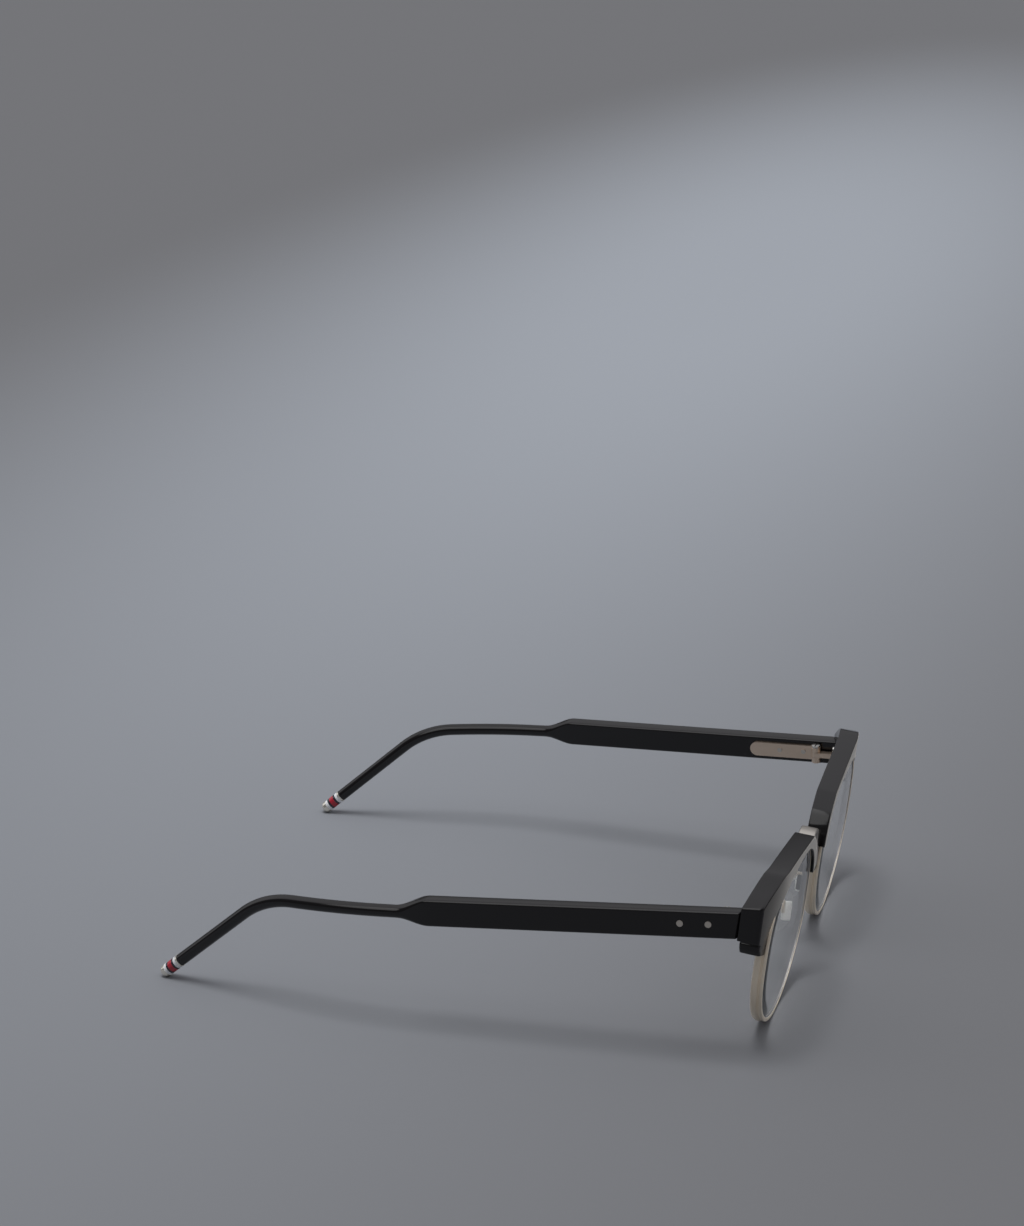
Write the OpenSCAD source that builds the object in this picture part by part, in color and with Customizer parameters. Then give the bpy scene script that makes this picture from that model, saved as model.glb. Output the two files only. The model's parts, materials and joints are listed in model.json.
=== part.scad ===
// Browline glasses with round metal rims, black brows and plate hinges.
// +Z is up, the temples run to +Y, and +X is the wearer's left.
// The glasses stand open on their rims and temple tips, at z = 0.

/* [Lenses] */
// Width of a lens
lens_w = 51; // [46:0.2:54]
// Height of a lens above its centre
lens_up = 19.9; // [18:0.1:22]
// Height of a lens below its centre
lens_down = 20.7; // [19:0.1:22]
// Squareness of the upper half of a lens, 2 is an ellipse
lens_square_up = 2.9; // [2:0.05:3.2]
// Squareness of the lower half of a lens
lens_square_down = 1.95; // [1.9:0.05:2.4]
// Thickness of a lens
lens_t = 2; // [1.4:0.1:2.4]
// Distance between the two lenses
nose_gap = 17.2; // [16:0.2:24]

/* [Front] */
// Forward lean of the top of the front, in degrees
front_tilt = 6; // [0:0.5:10]
// Backward turn of the outer end of each eye, in degrees
face_wrap = 0.8; // [0:0.2:5]

/* [Rims] */
// Depth of a rim from front to back
rim_depth = 3; // [2.6:0.1:3.6]
// Reach of a rim outside the lens edge
rim_out = 0.9; // [0.8:0.1:1.6]
// Reach of a rim inside the lens edge
rim_in = 0.2; // [0.1:0.1:0.8]
// Width of the front flange
rim_front_flange = 0.8; // [0.6:0.1:1]
// Width of the rear flange
rim_rear_flange = 1.8; // [1:0.1:1.9]
// Depth of the channel between the flanges
rim_channel = 0.2; // [0.15:0.05:0.5]
// Depth of the groove inside the rim, outside the lens edge
rim_groove = 0.35; // [0.3:0.05:0.4]
// Thickness of the lens tongue that sits in the rim
tongue_t = 1; // [0.8:0.1:1.2]

/* [Brows] */
// Height of the brow's peak above the lens edge
brow_peak = 4.4; // [3.4:0.1:5]
// Place of the peak, outwards from the lens centre
brow_peak_x = 18; // [10:0.5:20]
// Front of a brow ahead of the rim's middle plane
brow_front = 2.4; // [2.1:0.1:3]
// Back of a brow behind the rim's middle plane
brow_back = 3; // [2.7:0.1:4]
// Thickness of a brow outside the rim, beside the nose
brow_nose_t = 2.2; // [1.6:0.1:3]
// Reach of the end block beyond the lens edge
block_reach = 4.3; // [3.6:0.1:6]
// Height of the end block's side face
block_h = 8.6; // [7:0.1:9.4]
// Height of the recessed tab below the block
tab_h = 3.4; // [2:0.1:4]
// Depth of the tab's recess
tab_recess = 0.9; // [0.4:0.1:1.4]
// Backward sweep of the block against the rim plane
block_sweep = 3; // [2:0.1:4]

/* [Bridge] */
// Height of the bridge's crest above the lens centre
bridge_rise = 15.3; // [13:0.1:17]
// Outer radius of the bridge's arch
bridge_r = 6.3; // [5.4:0.1:7.5]
// Thickness of the bridge
bridge_t = 1.7; // [1.4:0.1:2.2]
// Depth of the bridge from front to back
bridge_depth = 4.3; // [3.4:0.1:5]
// Height of the feet that join the rims
foot_h = 3; // [2:0.1:4]

/* [Hinges] */
// Step from the end block's side out to the temple's outer face
temple_step = 0.9; // [0:0.1:1.5]
// Distance of a hinge axis behind the end block
hinge_back = 3.8; // [3.4:0.1:4.4]
// Diameter of a knuckle
knuckle_d = 2.6; // [2.4:0.1:3.2]
// Diameter of a hinge screw
screw_d = 1.2; // [1:0.1:1.4]
// Height of the middle knuckle
knuckle_h = 1.4; // [1.2:0.1:1.8]
// Gap between knuckles
knuckle_gap = 0.06; // [0.04:0.01:0.1]
// Thickness of the hinge plates
plate_t = 0.9; // [0.7:0.1:1.2]
// Length of a temple's hinge plate
plate_l = 19.6; // [16:0.2:22]
// Height of a temple's hinge plate
plate_h = 4.1; // [3.4:0.1:4.6]
// Inward lean of the hinge axes, in degrees
hinge_lean = 3.5; // [2.5:0.5:5]

/* [Temples] */
// Downward slope of an open temple, in degrees
temple_slope = 3.3; // [1:0.1:5]
// Outward splay of an open temple, in degrees
temple_splay = 3.6; // [2:0.1:6]
// Height of the wide part of a temple
temple_h = 7.1; // [6:0.1:7.6]
// Thickness of the wide part of a temple
temple_t = 4.2; // [3.6:0.1:5]
// Length of the wide part behind the hinge
temple_wide_l = 75.5; // [65:0.5:85]
// Diameter of the slim part of a temple
slim_d = 3.3; // [3:0.1:3.8]
// Distance from the hinge to the start of the ear bend
bend_start = 112.2; // [98:0.2:116]
// Radius of the ear bend
bend_r = 25; // [20:1:40]
// Angle of the ear bend, in degrees
bend_angle = 37; // [30:0.5:50]
// Inward turn of the rear of a temple, in degrees
inward_turn = 14; // [6:1:18]
// Diameter of the wire core
core_d = 1.4; // [1:0.1:1.6]
// Distance from the hinge to the first rivet
rivet_first = 3.8; // [3.4:0.1:5]
// Distance between the two rivets
rivet_pitch = 7; // [5:0.1:9]
// Diameter of a rivet's head
rivet_head_d = 1.65; // [1.4:0.05:2]

/* [Temple tips] */
// Length of the metal collar
collar_l = 0.6; // [0.4:0.1:1.2]
// Length of each white ring
white_l = 0.9; // [0.6:0.1:1.6]
// Length of each dark ring
dark_l = 0.7; // [0.5:0.1:1.4]
// Length of the red ring
red_l = 1.5; // [1:0.1:2.5]
// Length of the end cap
cap_l = 1.9; // [1.8:0.1:3]

/* [Nose pads] */
// Height of a pad
pad_h = 15; // [12:0.5:17]
// Width of a pad
pad_w = 8; // [6.5:0.1:9]
// Thickness of a pad
pad_t = 2.4; // [2:0.1:3]
// Distance of the pads' outer faces from the middle
pad_x = 8.6; // [7.6:0.1:10]
// Height of the pads' middle above the table
pad_z = 19; // [16:0.5:22]
// Distance of the pads' middle behind the rims' middle plane
pad_back = 6.6; // [6:0.1:9]
// Turn of the pads about the upright, in degrees
pad_turn = 24; // [15:1:35]
// Sideways lean of the pads, in degrees
pad_lean = 12; // [5:1:18]
// Diameter of a pad arm
arm_d = 1; // [0.8:0.1:1.2]

/* [Hidden] */
RIGHT = -1;
LEFT = 1;
$fn = 48;
// A cut reaches this far past the faces that it removes
past = 5;
// Clearance of a pin in its bore, on the radius
run_fit = 0.03;
// Clearance of pieces that are fitted face to face
seat = 0.05;

// Lens outline
outline_points = 72;
half_w = lens_w / 2;
eye_x = (lens_w + nose_gap) / 2;
// The front lower edge of a rim touches the table
eye_z = (lens_down + rim_out) * cos(front_tilt) + rim_depth / 2 * sin(front_tilt);

// Brow outline
peak_z = lens_up + brow_peak;
block_x = half_w + block_reach;
nose_fall = 4.6;
nose_run = 42;
block_fall = 5.9;
block_top = peak_z - block_fall;
block_low = block_top - block_h;
tab_low = block_low - tab_h;
sweep_start = half_w * 0.5;
block_back = brow_back + block_sweep;
lip_end = 5.9;
tail_end = -0.4;
brow_low = rim_out + seat;

// Hinge place in the open glasses, and its frame
hinge_inset = knuckle_d / 2 + 0.05;
hinge_u = block_x + temple_step - temple_t - hinge_inset;
hinge_drop = 1.05;
hinge_v = block_low + block_h / 2 - hinge_drop;
hinge = eye_point([hinge_u, block_back + hinge_back, hinge_v]);
temple_turn = [-temple_slope, -hinge_lean, -temple_splay];

// Temple middle line
line_x = hinge_inset + temple_t / 2 - 0.1;
line_z = -0.5;
turn_start = temple_wide_l + 4.5;
turn_r = (bend_start - turn_start) / (inward_turn * PI / 180);
bend_l = bend_r * bend_angle * PI / 180;
joint_gap = 0.35;
slim_start = temple_wide_l + 8;
band_l = collar_l + 2 * white_l + 2 * dark_l + red_l;
core_start = plate_l + 1.5;

// The straight end is as long as it takes to bring the cap down to the table
cap_d = slim_d + 0.1;
cap_round = 1.1;
turn_end = [line_x - turn_r * (1 - cos(inward_turn)), turn_start + turn_r * sin(inward_turn), line_z];
bend_run = bend_r * sin(bend_angle);
drop_start = turn_end + [-bend_run * sin(inward_turn), bend_run * cos(inward_turn), -bend_r * (1 - cos(bend_angle))];
drop_dir = [-cos(bend_angle) * sin(inward_turn), cos(bend_angle) * cos(inward_turn), -sin(bend_angle)];
start_place = temple_point(drop_start);
drop_world = temple_point(drop_dir) - hinge;
drop_l = cap_round + (start_place[2] - cap_round - (cap_d / 2 - cap_round) * sqrt(1 - pow(drop_world[2], 2)))
    / -drop_world[2];
sleeve_l = drop_l - band_l - cap_l;

// The origin stands under the middle of the glasses, halfway from brow to tip
tip_y = start_place[1] + drop_l * drop_world[1];
front_y = -brow_front - peak_z * sin(front_tilt) + 0.4;
mid_y = (tip_y + front_y) / 2;

// A point of the left temple's frame, in the open glasses
function temple_point(p) = let (
        y1 = p[1] * cos(temple_slope) + p[2] * sin(temple_slope),
        z1 = -p[1] * sin(temple_slope) + p[2] * cos(temple_slope),
        x2 = p[0] * cos(hinge_lean) - z1 * sin(hinge_lean),
        z2 = p[0] * sin(hinge_lean) + z1 * cos(hinge_lean)
    )
    hinge + [x2 * cos(temple_splay) + y1 * sin(temple_splay), -x2 * sin(temple_splay) + y1 * cos(temple_splay), z2];

// Superellipse around the lens centre, enlarged by off
function lens_outline(off) = [for (i = [0:outline_points - 1])
    let (
        a = i * 360 / outline_points,
        up = sin(a) >= 0,
        n = up ? lens_square_up : lens_square_down,
        h = (up ? lens_up : lens_down) + off,
        w = half_w + off
    )
    [w * sign(cos(a)) * pow(abs(cos(a)), 2 / n), h * sign(sin(a)) * pow(abs(sin(a)), 2 / n)]];

// Top of the brow at a distance x outwards from the lens centre
function brow_top(x) = x < brow_peak_x
    ? peak_z - nose_fall * pow((brow_peak_x - x) / nose_run, 1.2)
    : peak_z - block_fall * pow((x - brow_peak_x) / (block_x - brow_peak_x), 1.75);

// Backward sweep of the brow at x, beyond sweep_start
function sweep(x) = block_sweep * pow(max(0, x - sweep_start) / (block_x - sweep_start), 2);

// A point of the left eye's frame, in the open glasses
function eye_point(p) = let (
        x = p[0] * cos(face_wrap) - p[1] * sin(face_wrap),
        y = p[0] * sin(face_wrap) + p[1] * cos(face_wrap)
    )
    [eye_x + x, y * cos(front_tilt) - p[2] * sin(front_tilt), eye_z + y * sin(front_tilt) + p[2] * cos(front_tilt)];

// Children are drawn for the left side and mirrored for the right
module on_side(side) {
    translate([0, -mid_y, 0])
    if (side == LEFT) children();
    else mirror([1, 0, 0]) children();
}

// Frame of the left eye: the lens lies in the XZ plane, the back is +Y
module eye_frame() {
    translate([eye_x, 0, eye_z]) rotate([front_tilt, 0, 0]) rotate([0, 0, face_wrap]) children();
}

// Frame of the left temple: the hinge axis is Z, the open temple runs to +Y
module temple_frame() {
    translate(hinge) rotate(temple_turn) children();
}

// Extrudes an outline in the XZ plane from y0 to y1
module slab(y0, y1) {
    translate([0, y1, 0]) rotate([90, 0, 0]) linear_extrude(y1 - y0) children();
}

// Ring between two offsets of the lens outline
module lens_ring(inner, outer) {
    difference() {
        polygon(lens_outline(outer));
        polygon(lens_outline(inner));
    }
}

// Rod from a to b with a round end at b
module rod(a, b, d) {
    v = b - a;
    l = norm(v);
    translate(a) rotate([0, acos(v[2] / l), atan2(v[1], v[0])]) cylinder(h = l, d = d);
    translate(b) sphere(d = d * 1.1);
}

// Rectangle with round corners, centred
module round_rect(w, h, r) {
    square([w - 2 * r, h], center = true);
    square([w, h - 2 * r], center = true);
    for (x = [-1, 1], y = [-1, 1]) translate([x * (w / 2 - r), y * (h / 2 - r)]) circle(r);
}

// Cylinder along +Y from y0 to y1
module bar(y0, y1, d) {
    translate([0, y0, 0]) rotate([-90, 0, 0]) cylinder(h = y1 - y0, d = d);
}

// Cylinder along +X from x0 to x1
module cross_bar(x0, x1, d) {
    translate([x0, 0, 0]) rotate([0, 90, 0]) cylinder(h = x1 - x0, d = d);
}

// Frame at the start of the inward turn
module turn_frame() {
    translate([line_x, turn_start, line_z]) children();
}

// Frame at the start of the ear bend
module bend_frame() {
    turn_frame() translate([-turn_r, 0, 0]) rotate([0, 0, inward_turn]) translate([turn_r, 0, 0]) children();
}

// Frame at the start of the straight end behind the ear bend
module drop_frame() {
    bend_frame() translate([0, 0, -bend_r]) rotate([-bend_angle, 0, 0]) translate([0, 0, bend_r]) children();
}

// Round rod along the temple's middle line, from start in front to length l of the straight end.
// Each stretch starts inside the last one and is a little thinner.
module temple_line(start, l, d) {
    lap = 0.3;
    thin = 0.02;
    lap_turn = lap / turn_r * 180 / PI;
    lap_bend = lap / bend_r * 180 / PI;
    translate([line_x, 0, line_z]) bar(start, turn_start, d);
    turn_frame() translate([-turn_r, 0, 0]) rotate([0, 0, -lap_turn])
        rotate_extrude(angle = inward_turn + lap_turn) translate([turn_r, 0]) circle(d = d - thin);
    bend_frame() translate([0, 0, -bend_r]) rotate([0, -90, 0]) rotate([0, 0, -lap_bend])
        rotate_extrude(angle = bend_angle + lap_bend) translate([bend_r, 0]) circle(d = d - 2 * thin);
    drop_frame() bar(-lap, l, d - 3 * thin);
}

// Metal rim with a lens groove inside, a shallow channel outside and a slit at its lock
lock_z = 8.8;
lock_h = 3.4;
lock_t = 2;
lock_depth = 2.6;
slit = 0.3;
rim_screw_d = 0.9;
lock_x = half_w * pow(1 - pow(lock_z / lens_up, lens_square_up), 1 / lens_square_up) + rim_out;
lock_y = rim_depth / 2;

module rim(side) {
    half = rim_depth / 2;
    color("#b9ae96")
    on_side(side) eye_frame() difference() {
        union() {
            slab(-half, half) lens_ring(-rim_in, rim_out - rim_channel);
            slab(-half, rim_front_flange - half) lens_ring(-rim_in, rim_out);
            slab(half - rim_rear_flange, half) lens_ring(-rim_in, rim_out);
        }
        slab(-tongue_t / 2 - seat, tongue_t / 2 + seat) lens_ring(-rim_in - past, rim_groove);
        translate([lock_x - rim_out * 1.5, -half - past, lock_z - slit / 2]) cube([rim_out * 4, rim_depth + 2 * past, slit]);
    }
}

// Lens with a thin tongue around its edge
module lens(side) {
    color("#e8eef0", 0.35)
    on_side(side) eye_frame() {
        slab(-tongue_t / 2, tongue_t / 2) polygon(lens_outline(rim_groove - seat));
        slab(-lens_t / 2, lens_t / 2) polygon(lens_outline(-rim_in - seat));
    }
}

// Pair of lugs that closes the rim behind the brow's end
module lock_block(grow) {
    translate([lock_x - 0.35 - grow, lock_y - lock_depth / 2 - grow, lock_z - lock_h / 2 - grow])
        cube([lock_t + 2 * grow, lock_depth + 2 * grow, lock_h + 2 * grow]);
}

module rim_lock(side) {
    color("#b9ae96")
    on_side(side) eye_frame() difference() {
        lock_block(0);
        slab(-past, past) polygon(lens_outline(rim_out));
        translate([lock_x - past, -past, lock_z - slit / 2]) cube([2 * past, 3 * past, slit]);
        rim_screw_place() cylinder(h = 2 * past, d = rim_screw_d + 2 * run_fit, center = true);
    }
}

module rim_screw_place() {
    translate([lock_x + 0.95, lock_y + 0.5, lock_z]) children();
}

// Screw that draws the two lugs together
module rim_screw(side) {
    head_h = 0.5;
    color("#9a958a")
    on_side(side) eye_frame() rim_screw_place() {
        translate([0, 0, -lock_h / 2]) cylinder(h = lock_h + seat, d = rim_screw_d);
        difference() {
            translate([0, 0, lock_h / 2 + 0.01]) cylinder(h = head_h, d = 1.4);
            translate([-past, -0.12, lock_h / 2 + head_h / 2 + seat]) cube([2 * past, 0.24, past]);
        }
    }
}

// Outer shape of a brow as seen from the front
module brow_outline() {
    steps = 28;
    nose_x = -half_w - rim_out - brow_nose_t;
    top = [for (i = [0:steps])
        let (x = nose_x + (block_x - nose_x) * i / steps)
        [x, brow_top(x)]];
    intersection() {
        polygon(concat(top, [[block_x, block_low], [block_x - tab_recess, block_low],
            [block_x - tab_recess, tab_low], [half_w * 0.5, tab_low - 8], [nose_x, tail_end - 8]]));
        union() {
            polygon(lens_outline(rim_out + brow_nose_t));
            translate([0, -peak_z]) square([2 * block_x, 3 * peak_z]);
        }
    }
}

// Part of the XZ plane above the tab outside and above z beside the nose
module above(z) {
    translate([0, tab_low]) square(3 * block_x);
    translate([-3 * block_x, z]) square(3 * block_x);
}

// Depth of a brow, seen from above
module brow_plan() {
    steps = 12;
    xs = [for (i = [0:steps]) sweep_start + (block_x - sweep_start) * i / steps];
    front = [for (x = xs) [x, sweep(x) - brow_front]];
    back = [for (i = [steps:-1:0]) [xs[i], sweep(xs[i]) + brow_back]];
    start = -half_w - rim_out - 2 * brow_nose_t;
    translate([0, 0, -2 * peak_z]) linear_extrude(4 * peak_z)
        polygon(concat([[start, brow_back], [start, -brow_front]], front, back));
}

// Black brow: it rides on the rim, with a lip over the rim's front and a tail beside the nose
module brow(side) {
    half = rim_depth / 2;
    tail_front = rim_front_flange - half + seat;
    color("#1c191d")
    on_side(side) difference() {
        eye_frame() intersection() {
            union() {
                slab(-past, past) intersection() {
                    difference() {
                        brow_outline();
                        polygon(lens_outline(brow_low));
                    }
                    above(lip_end);
                }
                slab(-past, -half - seat) intersection() {
                    difference() {
                        brow_outline();
                        polygon(lens_outline(-rim_in));
                    }
                    above(lip_end);
                }
                slab(tail_front, past) intersection() {
                    difference() {
                        polygon(lens_outline(rim_out + brow_nose_t * 0.75));
                        polygon(lens_outline(brow_low));
                    }
                    translate([-2 * block_x, tail_end]) square([2 * block_x - 10, lip_end - tail_end + 1]);
                }
            }
            brow_plan();
        }
        eye_frame() lock_block(0.1);
        eye_frame() rim_screw_place() cylinder(h = lock_h + 1.3, d = 1.6, center = true);
        eye_frame() end_screw_places() bar(-end_screw_l - run_fit, past, end_screw_d + 2 * run_fit);
        eye_frame() leaf_plate(seat, past);
    }
}

// Arched metal bridge with a foot on each rim
module bridge() {
    crest = bridge_rise;
    leg_low = lip_end - 0.3;
    arch_z = crest - bridge_r;
    color("#b9ae96")
    translate([0, -mid_y, 0]) difference() {
        translate([0, 0, eye_z]) rotate([front_tilt, 0, 0]) {
            slab(-bridge_front, bridge_depth - bridge_front) difference() {
                union() {
                    translate([0, arch_z]) circle(bridge_r);
                    translate([-bridge_r, leg_low - foot_h]) square([2 * bridge_r, arch_z - leg_low + foot_h]);
                }
                translate([0, arch_z]) circle(bridge_r - bridge_t);
                translate([bridge_t - bridge_r, leg_low - foot_h - 1])
                    square([2 * (bridge_r - bridge_t), arch_z - leg_low + foot_h + 1]);
            }
            slab(-bridge_front, rim_front_flange - rim_depth / 2) for (s = [-1, 1])
                translate([s * (bridge_r + foot_reach / 2), leg_low - foot_h / 2])
                    square([foot_reach + 0.4, foot_h], center = true);
        }
        for (s = [-1, 1]) scale([s, 1, 1]) eye_frame() {
            slab(-2 * past, 2 * past) polygon(lens_outline(rim_out));
            slab(-2 * past, 2 * past) intersection() {
                polygon(lens_outline(rim_out + brow_nose_t + seat));
                translate([-3 * block_x, lip_end - seat]) square(3 * block_x);
            }
            slab(rim_front_flange - rim_depth / 2, 2 * past) intersection() {
                polygon(lens_outline(rim_out + brow_nose_t * 0.75 + seat));
                translate([-3 * block_x, tail_end - seat]) square(3 * block_x);
            }
        }
    }
}

bridge_front = rim_depth / 2 - 0.6;
foot_reach = eye_x - half_w - bridge_r;

// Front hinge leaf: a plate on the back of the end block and the middle knuckle
end_screw_d = 1;
end_screw_l = 2.3;
leaf_w = 2.6;
leaf_h = 5;
leaf_v = hinge_v + hinge_back * 1.5 * tan(front_tilt + temple_slope);
leaf_t = 0.8;
leaf_y = brow_back + sweep(hinge_u - leaf_w + 0.6) - 0.1;
leaf_reach = hinge_back + block_back - leaf_y - leaf_t / 2;

// Places of the two end screws on the block's back, in the eye frame
module end_screw_places() {
    for (z = [-1.6, 1.6]) translate([hinge_u - 0.6, leaf_y, leaf_v + z]) children();
}

module leaf_plate(grow, t) {
    translate([hinge_u - leaf_w + 0.6 - grow, leaf_y, leaf_v - leaf_h / 2 - grow])
        cube([leaf_w + 2 * grow, t, leaf_h + 2 * grow]);
}

module front_hinge(side) {
    color("#a9a08c")
    on_side(side) difference() {
        union() {
            eye_frame() leaf_plate(0, leaf_t);
            temple_frame() {
                translate([-knuckle_d / 2, -leaf_reach, -knuckle_h / 2]) cube([knuckle_d * 0.7, leaf_reach, knuckle_h]);
                translate([0, 0, -knuckle_h / 2]) cylinder(h = knuckle_h, d = knuckle_d);
            }
        }
        temple_frame() cylinder(h = 2 * past, d = screw_d + 2 * run_fit, center = true);
        eye_frame() end_screw_places() bar(-past, past, end_screw_d + 2 * run_fit);
    }
}

// Screws that hold the front hinge leaf on the brow
module end_screws(side) {
    color("#9a958a")
    on_side(side) eye_frame() end_screw_places() {
        bar(-end_screw_l, leaf_t + seat, end_screw_d);
        difference() {
            bar(leaf_t + 0.01, leaf_t + 0.4, 1.5);
            translate([-past, leaf_t + 0.2, -0.12]) cube([2 * past, past, 0.24]);
        }
    }
}

// Temple hinge: a riveted plate with the upper and lower knuckles
module temple_hinge(side) {
    mid = knuckle_h / 2 + knuckle_gap;
    low = -plate_h / 2 - 0.4;
    top = plate_h / 2;
    x0 = hinge_inset - plate_t;
    color("#a9a08c")
    on_side(side) temple_frame() difference() {
        union() {
            translate([x0, plate_h / 2 + knuckle_d * 0.5, -plate_h / 2])
                cube([plate_t, plate_l - plate_h - knuckle_d * 0.5, plate_h]);
            translate([0, plate_l - plate_h / 2, 0]) cross_bar(x0, hinge_inset, plate_h);
            translate([x0, 0, -plate_h / 2]) cube([plate_t, plate_h, plate_h]);
            translate([0, 0, low]) cylinder(h = top - low, d = knuckle_d);
        }
        translate([-past, -past, -mid]) cube([2 * past, past + knuckle_d / 2 + 0.15, 2 * mid]);
        cylinder(h = 2 * past, d = screw_d + 2 * run_fit, center = true);
        rivet_places() cross_bar(-past, past, rivet_d + 2 * run_fit);
    }
}

// Hinge screw with a slotted head on the upper knuckle
module hinge_screw(side) {
    low = -plate_h / 2 - 0.4;
    top = plate_h / 2;
    head_h = 0.6;
    color("#cfcabd")
    on_side(side) temple_frame() {
        translate([0, 0, low]) cylinder(h = top - low + seat, d = screw_d);
        difference() {
            translate([0, 0, top + 0.01]) cylinder(h = head_h, d = knuckle_d - 0.3);
            translate([-past, -0.15, top + head_h / 2]) cube([2 * past, 0.3, past]);
        }
    }
}

rivet_d = 1.1;

module rivet_places() {
    for (i = [0, 1]) translate([0, rivet_first + i * rivet_pitch, 0.2]) children();
}

// Two rivets with flat heads outside and small domes inside
module temple_rivets(side) {
    outer = hinge_inset + temple_t;
    head = 0.25;
    color("#8d8a84")
    on_side(side) temple_frame() rivet_places() {
        cross_bar(hinge_inset - plate_t, outer, rivet_d);
        cross_bar(outer + 0.01, outer + head, rivet_head_d);
        cross_bar(outer - seat, outer + head, rivet_d);
        cross_bar(hinge_inset - plate_t - head, hinge_inset - plate_t - 0.01, rivet_head_d - 0.3);
        cross_bar(hinge_inset - plate_t - head, hinge_inset - plate_t + seat, rivet_d);
    }
}

// Side view of the wide part, down to the slim part
module temple_side() {
    half = temple_h / 2;
    front = -2 * hinge_back;
    slim = slim_d / 2 * 0.97;
    rotate([90, 0, 90]) linear_extrude(4 * temple_t, center = true)
        polygon([[front, -half], [front, half], [temple_wide_l, half],
            [temple_wide_l + 2, half - 0.25], [slim_start - 1.5, line_z + slim + 0.1], [slim_start, line_z + slim],
            [slim_start, line_z - slim], [slim_start - 2, line_z - slim - 0.15],
            [temple_wide_l + 1.5, -half + 0.4], [temple_wide_l - 0.5, -half]]);
}

// Space up to the joint gap behind the end block, which the temple's front end follows
module front_space() {
    reach = 2 * temple_t;
    steps = 12;
    translate([0, 0, -2 * peak_z]) linear_extrude(4 * peak_z)
        polygon(concat([[block_x + reach, -2 * peak_z], [block_x - reach, -2 * peak_z]],
            [for (i = [0:steps]) let (x = block_x - reach + 2 * reach * i / steps) [x, brow_back + sweep(x) + joint_gap]]));
}

// Acetate temple with its rivet bores and a bore for the wire core
module temple(side) {
    round_r = 0.9;
    color("#1c191d")
    on_side(side) difference() {
        temple_frame() union() {
            intersection() {
                translate([hinge_inset + temple_t / 2, 2 * temple_wide_l, 0]) rotate([90, 0, 0])
                    linear_extrude(3 * temple_wide_l) round_rect(temple_t, temple_h, round_r);
                temple_side();
            }
            temple_line(temple_wide_l + 4, sleeve_l, slim_d);
        }
        eye_frame() front_space();
        temple_frame() {
            temple_line(core_start, drop_l, core_d + 2 * run_fit);
            rivet_places() cross_bar(-past, 2 * past, rivet_d + 2 * run_fit);
        }
    }
}

// Wire core, from behind the hinge plate to inside the end cap
module temple_core(side) {
    color("#b0ada6")
    on_side(side) temple_frame() temple_line(core_start + 0.5, drop_l - cap_l + 0.8, core_d);
}

// A ring on the core, from l0 to l1 behind the sleeve
module tip_ring(l0, l1, d) {
    drop_frame() difference() {
        bar(sleeve_l + l0, sleeve_l + l1, d);
        bar(sleeve_l + l0 - 1, sleeve_l + l1 + 1, core_d + 2 * run_fit);
    }
}

module tip_collar(side) {
    color("#c9c7c2")
    on_side(side) temple_frame() tip_ring(0, collar_l, cap_d);
}

module tip_rings_white(side) {
    second = collar_l + white_l + 2 * dark_l + red_l;
    color("#e6e6e8")
    on_side(side) temple_frame() for (l = [collar_l, second]) tip_ring(l, l + white_l, slim_d);
}

module tip_rings_dark(side) {
    first = collar_l + white_l;
    color("#26262e")
    on_side(side) temple_frame() for (l = [first, first + dark_l + red_l]) tip_ring(l, l + dark_l, slim_d);
}

module tip_ring_red(side) {
    first = collar_l + white_l + dark_l;
    color("#8c1822")
    on_side(side) temple_frame() tip_ring(first, first + red_l, slim_d);
}

// Cap with a rounded end over the end of the core
module tip_cap(side) {
    start = sleeve_l + band_l;
    color("#c9c7c2")
    on_side(side) temple_frame() drop_frame() difference() {
        union() {
            bar(start, start + cap_l - cap_round, cap_d);
            bar(start, start + cap_l, cap_d - 2 * cap_round);
            translate([0, start + cap_l - cap_round, 0]) rotate([-90, 0, 0])
                rotate_extrude() translate([cap_d / 2 - cap_round, 0]) intersection() {
                    circle(cap_round);
                    translate([-cap_round / 2, -seat]) square(2 * past);
                }
        }
        bar(start - 1, start + 0.9, core_d + 2 * run_fit);
    }
}

// Frame of the left nose pad: its faces look along X, its width runs along Y
module pad_frame() {
    translate([pad_x + pad_t / 2, pad_back, pad_z]) rotate([front_tilt, -pad_lean, -pad_turn]) children();
}

stem_w = 1.3;
stem_x = 3;
pad_screw_d = 0.8;
cheek_t = 0.5;
cheek_h = 3.6;

// Metal arm from the rim's back to a pair of cheeks that hold the pad's stem
module pad_arm(side) {
    half = rim_depth / 2;
    arm_z = 6;
    arm_x = -half_w * pow(1 - pow(arm_z / lens_up, lens_square_up), 1 / lens_square_up) - rim_out * 0.3;
    root = [arm_x, half + 0.01, arm_z];
    foot = [arm_x, half + 0.9, arm_z];
    elbow = [arm_x + 1.4, half + 1.8, arm_z - 0.2];
    knee = [arm_x + 3.4, half + 2.9, arm_z - 2.4];
    color("#c3bba6")
    on_side(side) difference() {
        union() {
            eye_frame() {
                rod(root, foot, arm_d);
                rod(foot, elbow, arm_d);
                rod(elbow, knee, arm_d);
            }
            arm_end(knee);
            pad_frame() difference() {
                translate([pad_t / 2 + 0.4, -stem_w / 2 - cheek_t - seat, -cheek_h / 2])
                    cube([stem_x - 0.2, stem_w + 2 * cheek_t + 2 * seat, cheek_h]);
                translate([pad_t / 2 - past, -stem_w / 2 - seat, -past]) cube([past + stem_x - 0.4, stem_w + 2 * seat, 2 * past]);
            }
        }
        pad_frame() translate([pad_t / 2 + stem_x - 1.2, 0, 0]) bar(-past, past, pad_screw_d + 2 * run_fit);
    }
}

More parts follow.
